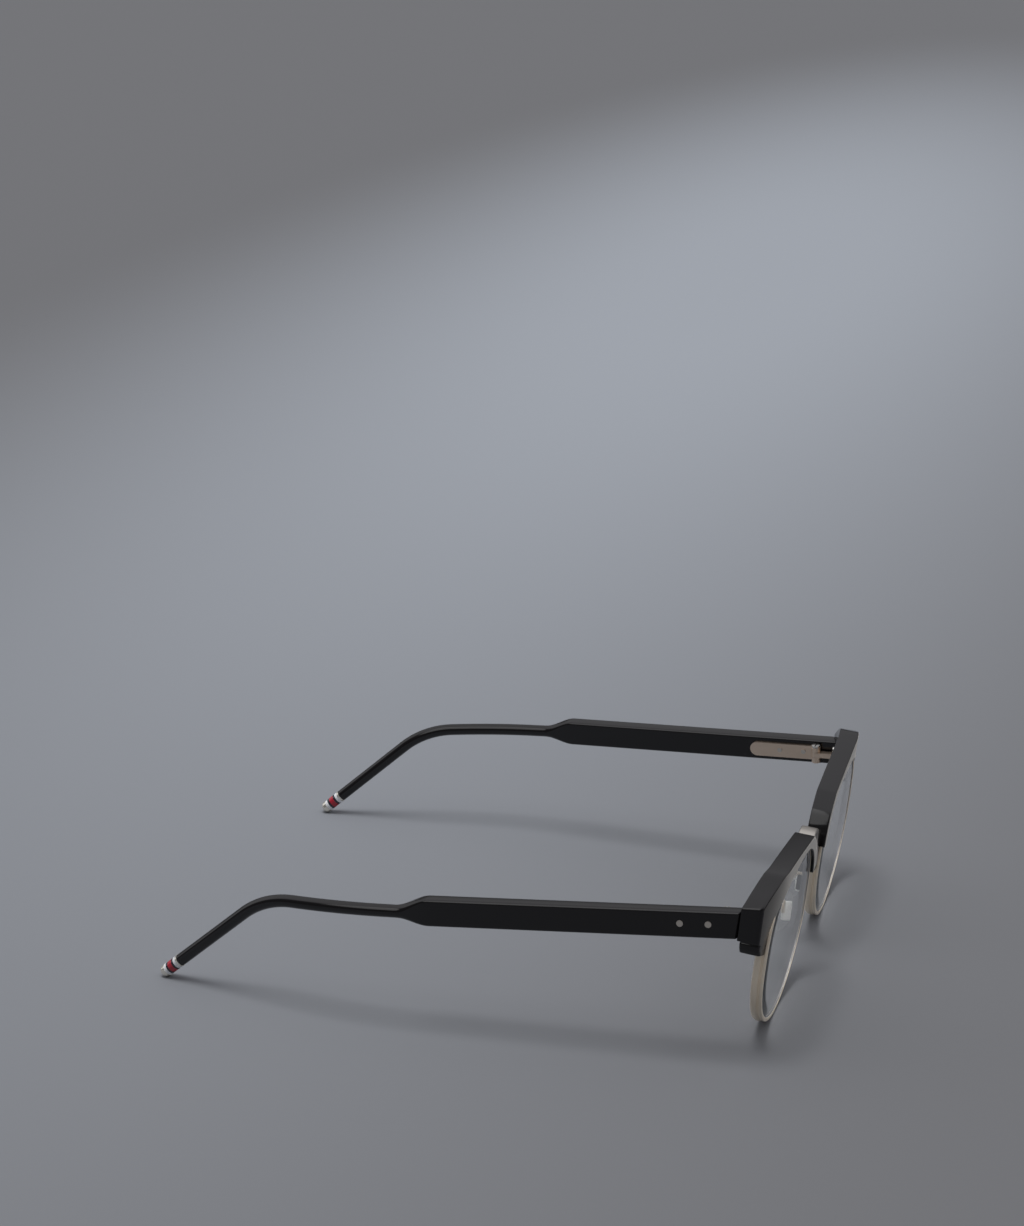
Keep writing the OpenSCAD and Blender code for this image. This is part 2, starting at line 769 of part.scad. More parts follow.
// Last stretch of the arm, down to the cheeks
module arm_end(knee) {
    start = eye_point(knee);
    out = pad_t / 2 + stem_x;
    end = [pad_x + pad_t / 2 + out * cos(pad_turn) * cos(pad_lean), pad_back - out * sin(pad_turn),
        pad_z + out * sin(pad_lean) + 1.2];
    rod(start, end, arm_d);
}

// Screw through the cheeks and the stem
module pad_screw(side) {
    half = stem_w / 2 + cheek_t + seat;
    color("#cfcabd")
    on_side(side) pad_frame() translate([pad_t / 2 + stem_x - 1.2, 0, 0]) {
        bar(-half, half + 0.02, pad_screw_d);
        bar(half + 0.01, half + 0.45, 1.3);
    }
}

// Stem and inner plate of a pad
module pad_core(side) {
    color("#dfe3e4")
    on_side(side) pad_frame() difference() {
        union() {
            translate([pad_t / 2 - 0.2, -stem_w / 2, -0.75]) cube([stem_x - 1, stem_w, 1.5]);
            translate([pad_t / 2 + stem_x - 1.2, 0, 0]) bar(-stem_w / 2, stem_w / 2, 1.5);
            translate([-0.3, -1.5, -2.5]) cube([pad_t / 2 + 0.2, 3, 5]);
        }
        translate([pad_t / 2 + stem_x - 1.2, 0, 0]) bar(-past, past, pad_screw_d + 2 * run_fit);
    }
}

// Clear pad, egg-shaped, with a pocket for its core
module nose_pad(side) {
    edge = 0.5;
    color("#eef2f2", 0.5)
    on_side(side) pad_frame() difference() {
        union() {
            pad_slab(-pad_t / 2 + edge, pad_t / 2 - edge, 0);
            pad_slab(-pad_t / 2, pad_t / 2, edge);
        }
        translate([-0.3 - seat, -1.5 - seat, -2.5 - seat]) cube([pad_t + past, 3 + 2 * seat, 5 + 2 * seat]);
    }
}

// Slice of the pad's egg-shaped outline from x0 to x1, drawn in by edge
module pad_slab(x0, x1, edge) {
    translate([x0, 0, 0]) rotate([90, 0, 90]) linear_extrude(x1 - x0)
        polygon([for (a = [0:10:350])
            [(pad_w / 2 - edge) * cos(a) * (1 - 0.14 * sin(a)), (pad_h / 2 - edge) * sin(a)]]);
}

rim(RIGHT);  // rim_right
rim(LEFT);  // rim_left
bridge();
brow(RIGHT);  // brow_right
brow(LEFT);  // brow_left
lens(RIGHT);  // lens_right
lens(LEFT);  // lens_left
rim_lock(RIGHT);  // rim_lock_right
rim_lock(LEFT);  // rim_lock_left
rim_screw(RIGHT);  // rim_screw_right
rim_screw(LEFT);  // rim_screw_left
front_hinge(RIGHT);  // front_hinge_right
front_hinge(LEFT);  // front_hinge_left
end_screws(RIGHT);  // end_screws_right
end_screws(LEFT);  // end_screws_left
pad_arm(RIGHT);  // pad_arm_right
pad_arm(LEFT);  // pad_arm_left
pad_screw(RIGHT);  // pad_screw_right
pad_screw(LEFT);  // pad_screw_left
pad_core(RIGHT);  // pad_core_right
pad_core(LEFT);  // pad_core_left
nose_pad(RIGHT);  // nose_pad_right
nose_pad(LEFT);  // nose_pad_left
temple(RIGHT);  // temple_right
temple(LEFT);  // temple_left
temple_core(RIGHT);  // temple_core_right
temple_core(LEFT);  // temple_core_left
temple_hinge(RIGHT);  // temple_hinge_right
temple_hinge(LEFT);  // temple_hinge_left
hinge_screw(RIGHT);  // hinge_screw_right
hinge_screw(LEFT);  // hinge_screw_left
temple_rivets(RIGHT);  // temple_rivets_right
temple_rivets(LEFT);  // temple_rivets_left
tip_collar(RIGHT);  // tip_collar_right
tip_collar(LEFT);  // tip_collar_left
tip_rings_white(RIGHT);  // tip_rings_white_right
tip_rings_white(LEFT);  // tip_rings_white_left
tip_rings_dark(RIGHT);  // tip_rings_dark_right
tip_rings_dark(LEFT);  // tip_rings_dark_left
tip_ring_red(RIGHT);  // tip_ring_red_right
tip_ring_red(LEFT);  // tip_ring_red_left
tip_cap(RIGHT);  // tip_cap_right
tip_cap(LEFT);  // tip_cap_left
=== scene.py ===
"""Browline glasses: the visual model, its finishes, the light and the camera."""
import json
import logging
import math
from dataclasses import dataclass, field
from enum import Enum
from typing import Callable, Sequence

import bpy
from mathutils import Matrix, Vector


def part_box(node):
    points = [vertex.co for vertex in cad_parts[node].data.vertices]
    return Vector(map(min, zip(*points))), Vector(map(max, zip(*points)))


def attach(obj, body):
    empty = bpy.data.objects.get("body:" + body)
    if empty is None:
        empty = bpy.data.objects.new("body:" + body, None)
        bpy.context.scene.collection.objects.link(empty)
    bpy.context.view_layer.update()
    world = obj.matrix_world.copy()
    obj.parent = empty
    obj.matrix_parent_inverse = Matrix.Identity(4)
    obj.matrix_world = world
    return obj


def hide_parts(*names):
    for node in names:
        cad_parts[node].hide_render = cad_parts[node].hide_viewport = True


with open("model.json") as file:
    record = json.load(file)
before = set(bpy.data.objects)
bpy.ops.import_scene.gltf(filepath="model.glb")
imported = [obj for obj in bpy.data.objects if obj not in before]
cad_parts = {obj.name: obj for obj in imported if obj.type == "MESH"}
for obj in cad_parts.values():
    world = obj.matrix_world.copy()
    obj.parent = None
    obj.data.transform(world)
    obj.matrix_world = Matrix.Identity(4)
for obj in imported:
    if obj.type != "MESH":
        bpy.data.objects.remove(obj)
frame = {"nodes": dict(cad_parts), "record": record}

log = logging.getLogger("glasses")
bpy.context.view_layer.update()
MM = 0.001
MERGE = 2e-6
CURVE_SHARE = 0.45
NOISE_LOW, NOISE_HIGH = 0.3, 0.7
FINE_TIMES = 22.0
STREAK_STRETCH = (1.0, 0.05, 1.0)
BUMP_DEPTH = 0.00004
COAT_ROUGHNESS = 0.08
# The sheen roughness and the warm tint shape the painted sheen laid on the brow's front faces.
SHEEN_ROUGHNESS = 0.35
PAINTED_SHEEN_TINT = (1.0, 0.95, 0.86, 1)
Point = Pair = tuple[float, float]
Tone = tuple[float, float, float]
Ring = list[Vector]
Object, Tree, Node, Socket = bpy.types.Object, bpy.types.NodeTree, bpy.types.Node, bpy.types.NodeSocket


class Side(Enum):
    """The wearer's two sides, with the sign of their X."""

    RIGHT = -1
    LEFT = 1

    @property
    def word(self) -> str:
        """The side's name as it ends a node's name."""
        return self.name.lower()


class Edge(Enum):
    """Shading angles in degrees for smooth surfaces between real edges."""

    SOFT = 60.0
    CRISP = 32.0


def deselect() -> None:
    """Leaves edit mode and selects nothing."""
    if bpy.context.object and bpy.context.object.mode != "OBJECT":
        bpy.ops.object.mode_set(mode="OBJECT")
    bpy.ops.object.select_all(action="DESELECT")


def pick(obj: Object) -> None:
    """Selects one object and makes it active."""
    deselect()
    obj.select_set(True)
    bpy.context.view_layer.objects.active = obj


def close_up(obj: Object, angle: Edge = Edge.SOFT) -> None:
    """Merges seams, fills open ends, turns faces outwards and smooths the shading.

    Args:
        obj: The mesh object to finish.
        angle: The angle above which an edge stays sharp.
    """
    pick(obj)
    bpy.ops.object.mode_set(mode="EDIT")
    bpy.ops.mesh.select_all(action="SELECT")
    bpy.ops.mesh.remove_doubles(threshold=MERGE)
    bpy.ops.mesh.fill_holes(sides=0)
    bpy.ops.mesh.select_all(action="SELECT")
    bpy.ops.mesh.normals_make_consistent(inside=False)
    bpy.ops.object.mode_set(mode="OBJECT")
    bpy.ops.object.shade_smooth_by_angle(angle=math.radians(angle.value))


def skin(name: str, rings: Sequence[Ring], closed: bool = False, angle: Edge = Edge.SOFT) -> Object:
    """Skins a grid over rings of points, as a tube that is closed round each ring.

    Args:
        name: The new object's name.
        rings: Equally long rings of points, in metres.
        closed: Whether the last ring joins the first.
        angle: The shading angle of the finished surface.

    Returns:
        The finished mesh object.
    """
    path = list(rings) + ([rings[0]] if closed else [])
    around = len(path[0])
    deselect()
    bpy.ops.mesh.primitive_grid_add(x_subdivisions=around, y_subdivisions=len(path) - 1, size=1)
    obj = bpy.context.object
    obj.name = name
    obj.data.name = name
    for row, ring in enumerate(path):
        for column in range(around + 1):
            obj.data.vertices[row * (around + 1) + column].co = ring[column % around]
    close_up(obj, angle)
    return obj


def join(name: str, pieces: Sequence[Object]) -> Object:
    """Joins several meshes into one object.

    Args:
        name: The joined object's name.
        pieces: The meshes, the first of which is kept.

    Returns:
        The joined object.
    """
    deselect()
    for piece in pieces:
        piece.select_set(True)
    bpy.context.view_layer.objects.active = pieces[0]
    bpy.ops.object.join()
    pieces[0].name = name
    return pieces[0]


def corner_arc(before: Vector, here: Vector, after: Vector, radius: float, steps: int) -> list[Vector]:
    """Points of a short arc that rounds one corner.

    Args:
        before: The point before the corner.
        here: The corner.
        after: The point after the corner.
        radius: The arc's reach along both sides, where they are long enough.
        steps: The points on the arc.

    Returns:
        The arc's points.
    """
    a, b = before - here, after - here
    reach = min(radius, CURVE_SHARE * a.length, CURVE_SHARE * b.length)
    start, end = here + a.normalized() * reach, here + b.normalized() * reach
    shares = [k / (steps - 1) for k in range(steps)]
    return [start * (1 - t) ** 2 + here * 2 * t * (1 - t) + end * t ** 2 for t in shares]


def round_corners(corners: Sequence[Point], radius: float | Sequence[float], steps: int = 5) -> list[Point]:
    """Rounds the corners of a polygon with short arcs.

    Args:
        corners: The polygon's corners in order.
        radius: One radius for all corners, or one for each.
        steps: The points on each arc.

    Returns:
        The rounded polygon's points.
    """
    count = len(corners)
    radii = [radius] * count if isinstance(radius, (int, float)) else list(radius)
    out: list[Point] = []
    for i, corner in enumerate(corners):
        before, after = Vector(corners[i - 1]), Vector(corners[(i + 1) % count])
        out += [(point.x, point.y) for point in corner_arc(before, Vector(corner), after, radii[i], steps)]
    return out


def rounded_box(across: Point, up: Point, radius: float | Sequence[float], steps: int = 5) -> list[Point]:
    """A rectangle with rounded corners, from its two ends each way."""
    corners = [(across[0], up[0]), (across[1], up[0]), (across[1], up[1]), (across[0], up[1])]
    return round_corners(corners, radius, steps)


def ease(share: float) -> float:
    """Smooth step from 0 to 1."""
    t = min(1.0, max(0.0, share))
    return t * t * (3 - 2 * t)


def turned(*turns: tuple[float, str]) -> Matrix:
    """A rotation made of turns in degrees about named axes, the last of which comes first."""
    made = Matrix.Identity(3)
    for degrees, axis in turns:
        made = made @ Matrix.Rotation(math.radians(degrees), 3, axis)
    return made


def spline(points: Sequence[Vector], steps: int) -> list[Vector]:
    """Runs a smooth curve through points.

    Args:
        points: The points to pass through.
        steps: The pieces between two points.

    Returns:
        The curve's points.
    """
    ends = [points[0] * 2 - points[1], *points, points[-1] * 2 - points[-2]]
    out: list[Vector] = []
    for i in range(1, len(ends) - 2):
        p0, p1, p2, p3 = ends[i - 1:i + 3]
        for k in range(steps):
            t = k / steps
            out.append(0.5 * (2 * p1 + (p2 - p0) * t + (2 * p0 - 5 * p1 + 4 * p2 - p3) * t ** 2
                              + (3 * p1 - p0 - 3 * p2 + p3) * t ** 3))
    return out + [points[-1].copy()]


def wire_rings(path: Sequence[Vector], radii: Sequence[float], around: int = 16) -> list[Ring]:
    """Rings of a round wire along a path.

    Args:
        path: The wire's middle line, in millimetres.
        radii: The wire's radius at each point, in millimetres.
        around: The points of each ring.

    Returns:
        The rings, in millimetres.
    """
    rings: list[Ring] = []
    normal = (path[1] - path[0]).orthogonal().normalized()
    for i, centre in enumerate(path):
        ahead = (path[min(i + 1, len(path) - 1)] - path[max(i - 1, 0)]).normalized()
        normal = (normal - ahead * normal.dot(ahead)).normalized()
        other = ahead.cross(normal)
        angles = [2 * math.pi * k / around for k in range(around)]
        rings.append([centre + (normal * math.cos(a) + other * math.sin(a)) * radii[i] for a in angles])
    return rings


@dataclass(frozen=True)
class Build:
    """Real sizes in millimetres and degrees that place the pieces, as in the part's source."""

    lens_w: float = 51.0
    lens_up: float = 19.9
    lens_down: float = 20.7
    square_up: float = 2.9
    square_down: float = 1.95
    nose_gap: float = 17.2
    tilt: float = 6.0
    wrap: float = 0.8
    rim_depth: float = 3.0
    rim_out: float = 0.9
    rim_in: float = 0.2
    brow_peak: float = 4.4
    brow_peak_x: float = 18.0
    nose_fall: float = 4.6
    nose_run: float = 42.0
    block_fall: float = 5.9
    brow_front: float = 2.4
    brow_back: float = 3.0
    brow_nose_t: float = 2.2
    block_reach: float = 4.3
    block_h: float = 8.6
    tab_h: float = 3.4
    tab_recess: float = 0.9
    block_sweep: float = 3.0
    temple_step: float = 0.9
    hinge_back: float = 3.8
    temple_slope: float = 3.3
    temple_splay: float = 3.6
    hinge_lean: float = 3.5
    temple_h: float = 7.1
    temple_t: float = 4.2
    temple_wide_l: float = 75.5
    slim_d: float = 3.3
    bend_start: float = 112.2
    bend_r: float = 25.0
    bend_angle: float = 37.0
    inward_turn: float = 14.0
    knuckle_d: float = 2.6
    pad_h: float = 15.0
    pad_w: float = 8.0
    pad_t: float = 2.4
    pad_x: float = 8.6
    pad_z: float = 19.0
    pad_back: float = 6.6
    pad_turn: float = 24.0
    pad_lean: float = 12.0
    stem_x: float = 3.0
    joint_gap: float = 0.35
    lip_end: float = 8.3
    tail_end: float = 0.8
    hinge_drop: float = 1.05
    middle: float = 77.4727

    @property
    def half_w(self) -> float:
        """Half a lens's width."""
        return self.lens_w / 2

    @property
    def eye_x(self) -> float:
        """Distance of a lens's centre from the middle."""
        return (self.lens_w + self.nose_gap) / 2

    @property
    def eye_z(self) -> float:
        """Height of a lens's centre above the table."""
        t = math.radians(self.tilt)
        return (self.lens_down + self.rim_out) * math.cos(t) + self.rim_depth / 2 * math.sin(t)

    @property
    def peak_z(self) -> float:
        """Height of a brow's peak above the lens's centre."""
        return self.lens_up + self.brow_peak

    @property
    def block_x(self) -> float:
        """Distance of the end block's side from the lens's centre."""
        return self.half_w + self.block_reach

    @property
    def block_top(self) -> float:
        """Height of the end block's top outer edge."""
        return self.peak_z - self.block_fall

    @property
    def block_low(self) -> float:
        """Height of the end block's lower edge."""
        return self.block_top - self.block_h

    @property
    def hinge_inset(self) -> float:
        """Distance from the hinge axis to the temple's inner face."""
        return self.knuckle_d / 2 + 0.05

    @property
    def line(self) -> Vector:
        """The temple's middle line beside the hinge."""
        return Vector((self.hinge_inset + self.temple_t / 2 - 0.1, 0, -0.5))

    def outline(self, off: float, angle: float) -> Point:
        """A point of the lens outline, enlarged by off.

        Args:
            off: The enlargement.
            angle: The outline's parameter in degrees, 0 outwards and 90 up.

        Returns:
            The point outwards and up from the lens's centre.
        """
        c, s = math.cos(math.radians(angle)), math.sin(math.radians(angle))
        n, h = self.half_shape(s, off)
        w = self.half_w + off
        return (w * math.copysign(abs(c) ** (2 / n), c), h * math.copysign(abs(s) ** (2 / n), s))

    def half_shape(self, z: float, off: float) -> Point:
        """Squareness and height of the enlarged outline's half that z is in."""
        if z >= 0:
            return self.square_up, self.lens_up + off
        return self.square_down, self.lens_down + off

    def outline_x(self, z: float, off: float) -> float:
        """Half the enlarged outline's width at height z."""
        n, h = self.half_shape(z, off)
        return (self.half_w + off) * (1 - (abs(z) / h) ** n) ** (1 / n)

    def outline_towards(self, point: Point, off: float) -> Point:
        """The point of the enlarged outline in the direction of another point."""
        n, h = self.half_shape(point[1], off)
        share = ((abs(point[0]) / (self.half_w + off)) ** n + (abs(point[1]) / h) ** n) ** (-1 / n)
        return (point[0] * share, point[1] * share)

    def brow_top(self, x: float) -> float:
        """Height of a brow's top edge at x outwards from the lens's centre."""
        if x < self.brow_peak_x:
            return self.peak_z - self.nose_fall * ((self.brow_peak_x - x) / self.nose_run) ** 1.2
        run = (x - self.brow_peak_x) / (self.block_x - self.brow_peak_x)
        return self.peak_z - self.block_fall * run ** 1.75

    def sweep(self, x: float) -> float:
        """Backward sweep of a brow at x."""
        start = self.half_w * 0.5
        return self.block_sweep * (max(0.0, x - start) / (self.block_x - start)) ** 2

    @property
    def eye_place(self) -> Vector:
        """Place of the left lens's centre."""
        return Vector((self.eye_x, -self.middle, self.eye_z))

    @property
    def eye_turn(self) -> Matrix:
        """Turn of the left eye's frame."""
        return turned((self.tilt, "X"), (self.wrap, "Z"))

    def eye(self, p: Vector) -> Vector:
        """Moves a point of the left eye's frame into the open glasses."""
        return self.eye_place + self.eye_turn @ p

    def eye_inverse(self, p: Vector) -> Vector:
        """Moves a point of the open glasses into the left eye's frame."""
        return self.eye_turn.inverted() @ (p - self.eye_place)

    @property
    def hinge(self) -> Vector:
        """Place of the left hinge."""
        u = self.block_x + self.temple_step - self.temple_t - self.hinge_inset
        return self.eye(Vector((u, self.brow_back + self.block_sweep + self.hinge_back,
                                self.block_low + self.block_h / 2 - self.hinge_drop)))

    def temple(self, p: Vector) -> Vector:
        """Moves a point of the left temple's frame into the open glasses."""
        turn = turned((-self.temple_splay, "Z"), (-self.hinge_lean, "Y"), (-self.temple_slope, "X"))
        return self.hinge + turn @ p

    def pad(self, p: Vector) -> Vector:
        """Moves a point of the left pad's frame into the open glasses."""
        turn = turned((-self.pad_turn, "Z"), (-self.pad_lean, "Y"), (self.tilt, "X"))
        return Vector((self.pad_x + self.pad_t / 2, self.pad_back - self.middle, self.pad_z)) + turn @ p


BUILD = Build()


def place(side: Side, move: Callable[[Vector], Vector], rings: Sequence[Ring]) -> list[Ring]:
    """Moves rings from a left frame into the glasses, mirrored for the right side, in metres.

    Args:
        side: The side to place them on.
        move: The frame's own transform, in millimetres.
        rings: Rings in the frame, in millimetres.

    Returns:
        The placed rings, in metres.
    """
    flip = Vector((side.value, 1, 1))
    return [[move(p) * flip * MM for p in ring] for ring in rings]


def add_node(tree: Tree, kind: str, inputs: dict, **settings: object) -> Node:
    """Adds a shader node.

    Args:
        tree: The tree that takes it.
        kind: The node's type without its common first word.
        inputs: For each input, an output to link to it or a plain value.
        settings: The node's own settings.

    Returns:
        The node.
    """
    node = tree.nodes.new(f"ShaderNode{kind}")
    for name, value in settings.items():
        setattr(node, name, value)
    feed(tree, node, inputs)
    return node


def feed(tree: Tree, node: Node, inputs: dict) -> None:
    """Links outputs to a node's inputs or writes plain values on them."""
    for label, value in inputs.items():
        if isinstance(value, Socket):
            tree.links.new(value, node.inputs[label])
        else:
            node.inputs[label].default_value = value


class NodeGroup:
    """A shader node group with named inputs and outputs."""

    def __init__(self, name: str, inputs: dict[str, float | tuple], outputs: Sequence[str]) -> None:
        """Starts the group.

        Args:
            name: The group's name.
            inputs: Each input's default value, a number or a colour.
            outputs: The outputs' names, of which only Color is a colour.
        """
        self.tree = bpy.data.node_groups.new(name, "ShaderNodeTree")
        for label, value in inputs.items():
            kind = "NodeSocketColor" if isinstance(value, tuple) else "NodeSocketFloat"
            self.tree.interface.new_socket(label, in_out="INPUT", socket_type=kind).default_value = value
        for label in outputs:
            kind = "NodeSocketColor" if label == "Color" else "NodeSocketFloat"
            self.tree.interface.new_socket(label, in_out="OUTPUT", socket_type=kind)
        self.start = self.tree.nodes.new("NodeGroupInput").outputs
        self.end = self.tree.nodes.new("NodeGroupOutput")

    def add(self, kind: str, inputs: dict, **settings: object) -> Node:
        """Adds a node to the group."""
        return add_node(self.tree, kind, inputs, **settings)

    def spread(self, source: Socket) -> Socket:
        """Spreads a noise over the group's roughness range."""
        span = self.add("MapRange", {"Value": source, "From Min": NOISE_LOW, "From Max": NOISE_HIGH,
                                     "To Min": self.start["Rough Low"], "To Max": self.start["Rough High"]})
        return span.outputs["Result"]


class Effects:
    """Shared surface effects, each a node group that is built once."""

    def __init__(self) -> None:
        """Builds the groups."""
        self.mottle = self._mottle()
        self.streaks = self._streaks()

    @staticmethod
    def _mottle() -> Tree:
        """Soft handling marks: a cloudy tone, a cloudy roughness and a fine height."""
        group = NodeGroup("handling_marks", {"Scale": 60.0, "Tone A": (0, 0, 0, 1), "Tone B": (0, 0, 0, 1),
                                             "Rough Low": 0.2, "Rough High": 0.3},
                          ("Color", "Roughness", "Height"))
        where = group.add("TexCoord", {}).outputs["Object"]
        scale = group.start["Scale"]
        cloud = group.add("TexNoise", {"Vector": where, "Scale": scale, "Detail": 5.0, "Roughness": 0.6})
        finer = group.add("Math", {0: scale, 1: FINE_TIMES}, operation="MULTIPLY")
        fine = group.add("TexNoise", {"Vector": where, "Scale": finer.outputs[0], "Detail": 3.0})
        mix = group.add("Mix", {"Factor": cloud.outputs["Fac"], "A": group.start["Tone A"], "B": group.start["Tone B"]},
                        data_type="RGBA")
        feed(group.tree, group.end, {"Color": mix.outputs["Result"], "Roughness": group.spread(cloud.outputs["Fac"]),
                                     "Height": fine.outputs["Fac"]})
        return group.tree

    @staticmethod
    def _streaks() -> Tree:
        """Fine brushing along Y: streaky roughness and height."""
        group = NodeGroup("brushed_streaks", {"Scale": 900.0, "Rough Low": 0.2, "Rough High": 0.35},
                          ("Roughness", "Height"))
        where = group.add("TexCoord", {}).outputs["Object"]
        along = group.add("Mapping", {"Vector": where, "Scale": STREAK_STRETCH}).outputs["Vector"]
        noise = group.add("TexNoise", {"Vector": along, "Scale": group.start["Scale"], "Detail": 3.0})
        feed(group.tree, group.end, {"Roughness": group.spread(noise.outputs["Fac"]), "Height": noise.outputs["Fac"]})
        return group.tree


class Grain(Enum):
    """Which shared effect a finish carries."""

    MARKS = "marks"
    BRUSHED = "brushed"


@dataclass(frozen=True)
class Finish:
    """A surface finish with its plain values."""

    name: str
    tone: Tone
    tone_b: Tone
    rough: Pair
    metallic: float = 0.0
    grain: Grain = Grain.MARKS
    scale: float = 60.0
    bump: float = 0.05
    coat: float = 0.0
    transmission: float = 0.0
    ior: float = 1.5
    sheen: float = 0.0
    clear: bool = False
    glow: float = 0.0

    def build(self, effects: Effects) -> bpy.types.Material:
        """Makes the material, with the shared effects that it carries."""
        made = bpy.data.materials.new(self.name)
        made.use_nodes = True
        tree = made.node_tree
        rough = {"Rough Low": self.rough[0], "Rough High": self.rough[1]}
        marks = add_node(tree, "Group", {}, node_tree=effects.mottle)
        feed(tree, marks, {"Scale": self.scale, "Tone A": (*self.tone, 1), "Tone B": (*self.tone_b, 1), **rough})
        source = marks
        if self.grain is Grain.BRUSHED:
            source = add_node(tree, "Group", {}, node_tree=effects.streaks)
            feed(tree, source, rough)
        height = add_node(tree, "Bump", {"Strength": self.bump, "Distance": BUMP_DEPTH,
                                         "Height": source.outputs["Height"]})
        shader = tree.nodes["Principled BSDF"]
        feed(tree, shader, {
            "Base Color": marks.outputs["Color"], "Roughness": source.outputs["Roughness"],
            "Normal": height.outputs["Normal"], "Metallic": self.metallic, "IOR": self.ior, "Coat Weight": self.coat,
            "Coat Roughness": COAT_ROUGHNESS, "Transmission Weight": self.transmission,
            # Emission paints a glow of the finish's own tone, and Sheen Weight a painted sheen, on the finishes that
            # set them.
            "Emission Color": (*self.tone, 1), "Emission Strength": self.glow, "Sheen Weight": self.sheen,
            "Sheen Roughness": SHEEN_ROUGHNESS, "Sheen Tint": PAINTED_SHEEN_TINT})
        if self.clear:
            self._let_light_through(tree, shader)
        return made

    @staticmethod
    def _let_light_through(tree: Tree, shader: Node) -> None:
        """Lets shadow rays pass a clear piece, so that what lies behind it stays lit."""
        shadow = add_node(tree, "LightPath", {}).outputs["Is Shadow Ray"]
        passing = add_node(tree, "BsdfTransparent", {})
        mix = add_node(tree, "MixShader", {0: shadow, 1: shader.outputs[0], 2: passing.outputs[0]})
        feed(tree, tree.nodes["Material Output"], {"Surface": mix.outputs[0]})


METAL = {"metallic": 1.0}
BLACK = {"tone": (0.004, 0.0035, 0.0042), "tone_b": (0.006, 0.005, 0.006), "rough": (0.09, 0.14), "scale": 70,
         "bump": 0.03}
RING = {"scale": 300, "bump": 0.04, "coat": 0.3}
FINISHES = {
    "acetate": Finish("black_acetate", **BLACK),
    # Painted sheen: the brow's front faces get a warm grazing sheen that stands in for light falling on them.
    "brow_front": Finish("black_brow_front_painted_sheen", **BLACK, sheen=1.0),
    # Painted shade: a darker copy of the rims' champagne metal, so that the bridge's upward-facing top reads dimmer.
    "bridge": Finish("champagne_bridge_painted_shade", (0.5, 0.47, 0.43), (0.56, 0.53, 0.49), (0.3, 0.4), scale=220, bump=0.1,
                     **METAL),
    # Painted shade: a dim grey metal for the rims' inner faces, standing in for shade and the backdrop seen past them.
    "rim_inside_painted_shade": Finish("rim_painted_shade", (0.34, 0.345, 0.36), (0.38, 0.385, 0.4), (0.5, 0.6), scale=220, **METAL),
    "rim_metal": Finish("champagne_rim", (0.98, 0.85, 0.68), (1.0, 0.9, 0.74), (0.28, 0.38), metallic=0.5, scale=220,
                        bump=0.1),
    "hinge_metal": Finish("brushed_champagne", (0.74, 0.6, 0.48), (0.82, 0.67, 0.54), (0.28, 0.38), grain=Grain.BRUSHED,
                          bump=0.25, **METAL),
    "screw": Finish("polished_screw", (0.7, 0.69, 0.66), (0.78, 0.77, 0.74), (0.12, 0.2), scale=400, **METAL),
    "rivet": Finish("satin_rivet", (0.66, 0.61, 0.55), (0.72, 0.67, 0.61), (0.35, 0.45), scale=500, bump=0.1, **METAL),
    "core": Finish("drawn_wire", (0.5, 0.49, 0.47), (0.58, 0.57, 0.55), (0.25, 0.35), scale=300, bump=0.1, **METAL),
    "lens": Finish("clear_lens", (0.985, 0.99, 0.985), (0.99, 0.995, 0.99), (0.0, 0.01), scale=30, bump=0.0,
                   transmission=1.0, ior=1.33, clear=True),
    "pad": Finish("clear_pad", (0.93, 0.94, 0.93), (0.95, 0.96, 0.95), (0.03, 0.06), scale=160, bump=0.02,
                  transmission=0.95, ior=1.4, clear=True),
    # Painted glow: the pad's core gives off a little light of its own tone, though it is no lamp.
    "pad_core": Finish("milky_core_painted_glow", (0.9, 0.9, 0.88), (0.94, 0.94, 0.92), (0.3, 0.4), scale=300, glow=0.3),
    "tip_metal": Finish("polished_tip", (0.86, 0.82, 0.74), (0.92, 0.88, 0.8), (0.2, 0.3), metallic=0.85, scale=300,
                        bump=0.06),
    "ring_white": Finish("white_ring", (0.88, 0.89, 0.92), (0.92, 0.93, 0.95), (0.22, 0.32), **RING),
    "ring_dark": Finish("dark_ring", (0.012, 0.012, 0.022), (0.018, 0.018, 0.03), (0.2, 0.3), **RING),
    "ring_red": Finish("red_ring", (0.42, 0.012, 0.03), (0.5, 0.018, 0.04), (0.22, 0.32), **RING),
}


@dataclass
class Dresser:
    """Builds each finish once, and dresses, rides and slots the pieces."""

    effects: Effects
    made: dict[str, bpy.types.Material] = field(default_factory=dict)

    def material(self, slot: str) -> bpy.types.Material:
        """The material of a record's slot."""
        if slot not in self.made:
            self.made[slot] = FINISHES[slot].build(self.effects)
        return self.made[slot]

    def dress(self, obj: Object, slot: str, body: str, *nodes: str, finish: str = "") -> None:
        """Finishes a new piece.

        Args:
            obj: The piece.
            slot: The record's material slot.
            body: The body that carries it.
            nodes: The CAD nodes that it stands for.
            finish: A finish of the piece's own, in place of the slot's.
        """
        obj.data.materials.clear()
        obj.data.materials.append(self.material(finish or slot))
        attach(obj, body)
        if nodes:
            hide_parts(*nodes)
        log.info("%s: %d faces, %s, rides on %s", obj.name, len(obj.data.polygons), slot, body)

    def dress_nodes(self) -> None:
        """Gives every CAD node the finish of its slot."""
        slots = {entry["node"]: entry["material_slot"] for entry in frame["record"]["subparts"]}
        for name, obj in frame["nodes"].items():
            obj.data.materials.clear()
            obj.data.materials.append(self.material(slots[name]))


@dataclass
class Paired:
    """A piece that is made once for each side."""

    side: Side

    def named(self, base: str) -> str:
        """A name that ends in the side."""
        return f"{base}_{self.side.word}"

    def skin(self, base: str, move: Callable[[Vector], Vector], rings: Sequence[Ring], closed: bool = False,
             angle: Edge = Edge.CRISP) -> Object:
        """Places a left frame's rings on this side and skins them, as place and skin say."""
        return skin(self.named(base), place(self.side, move, rings), closed, angle)


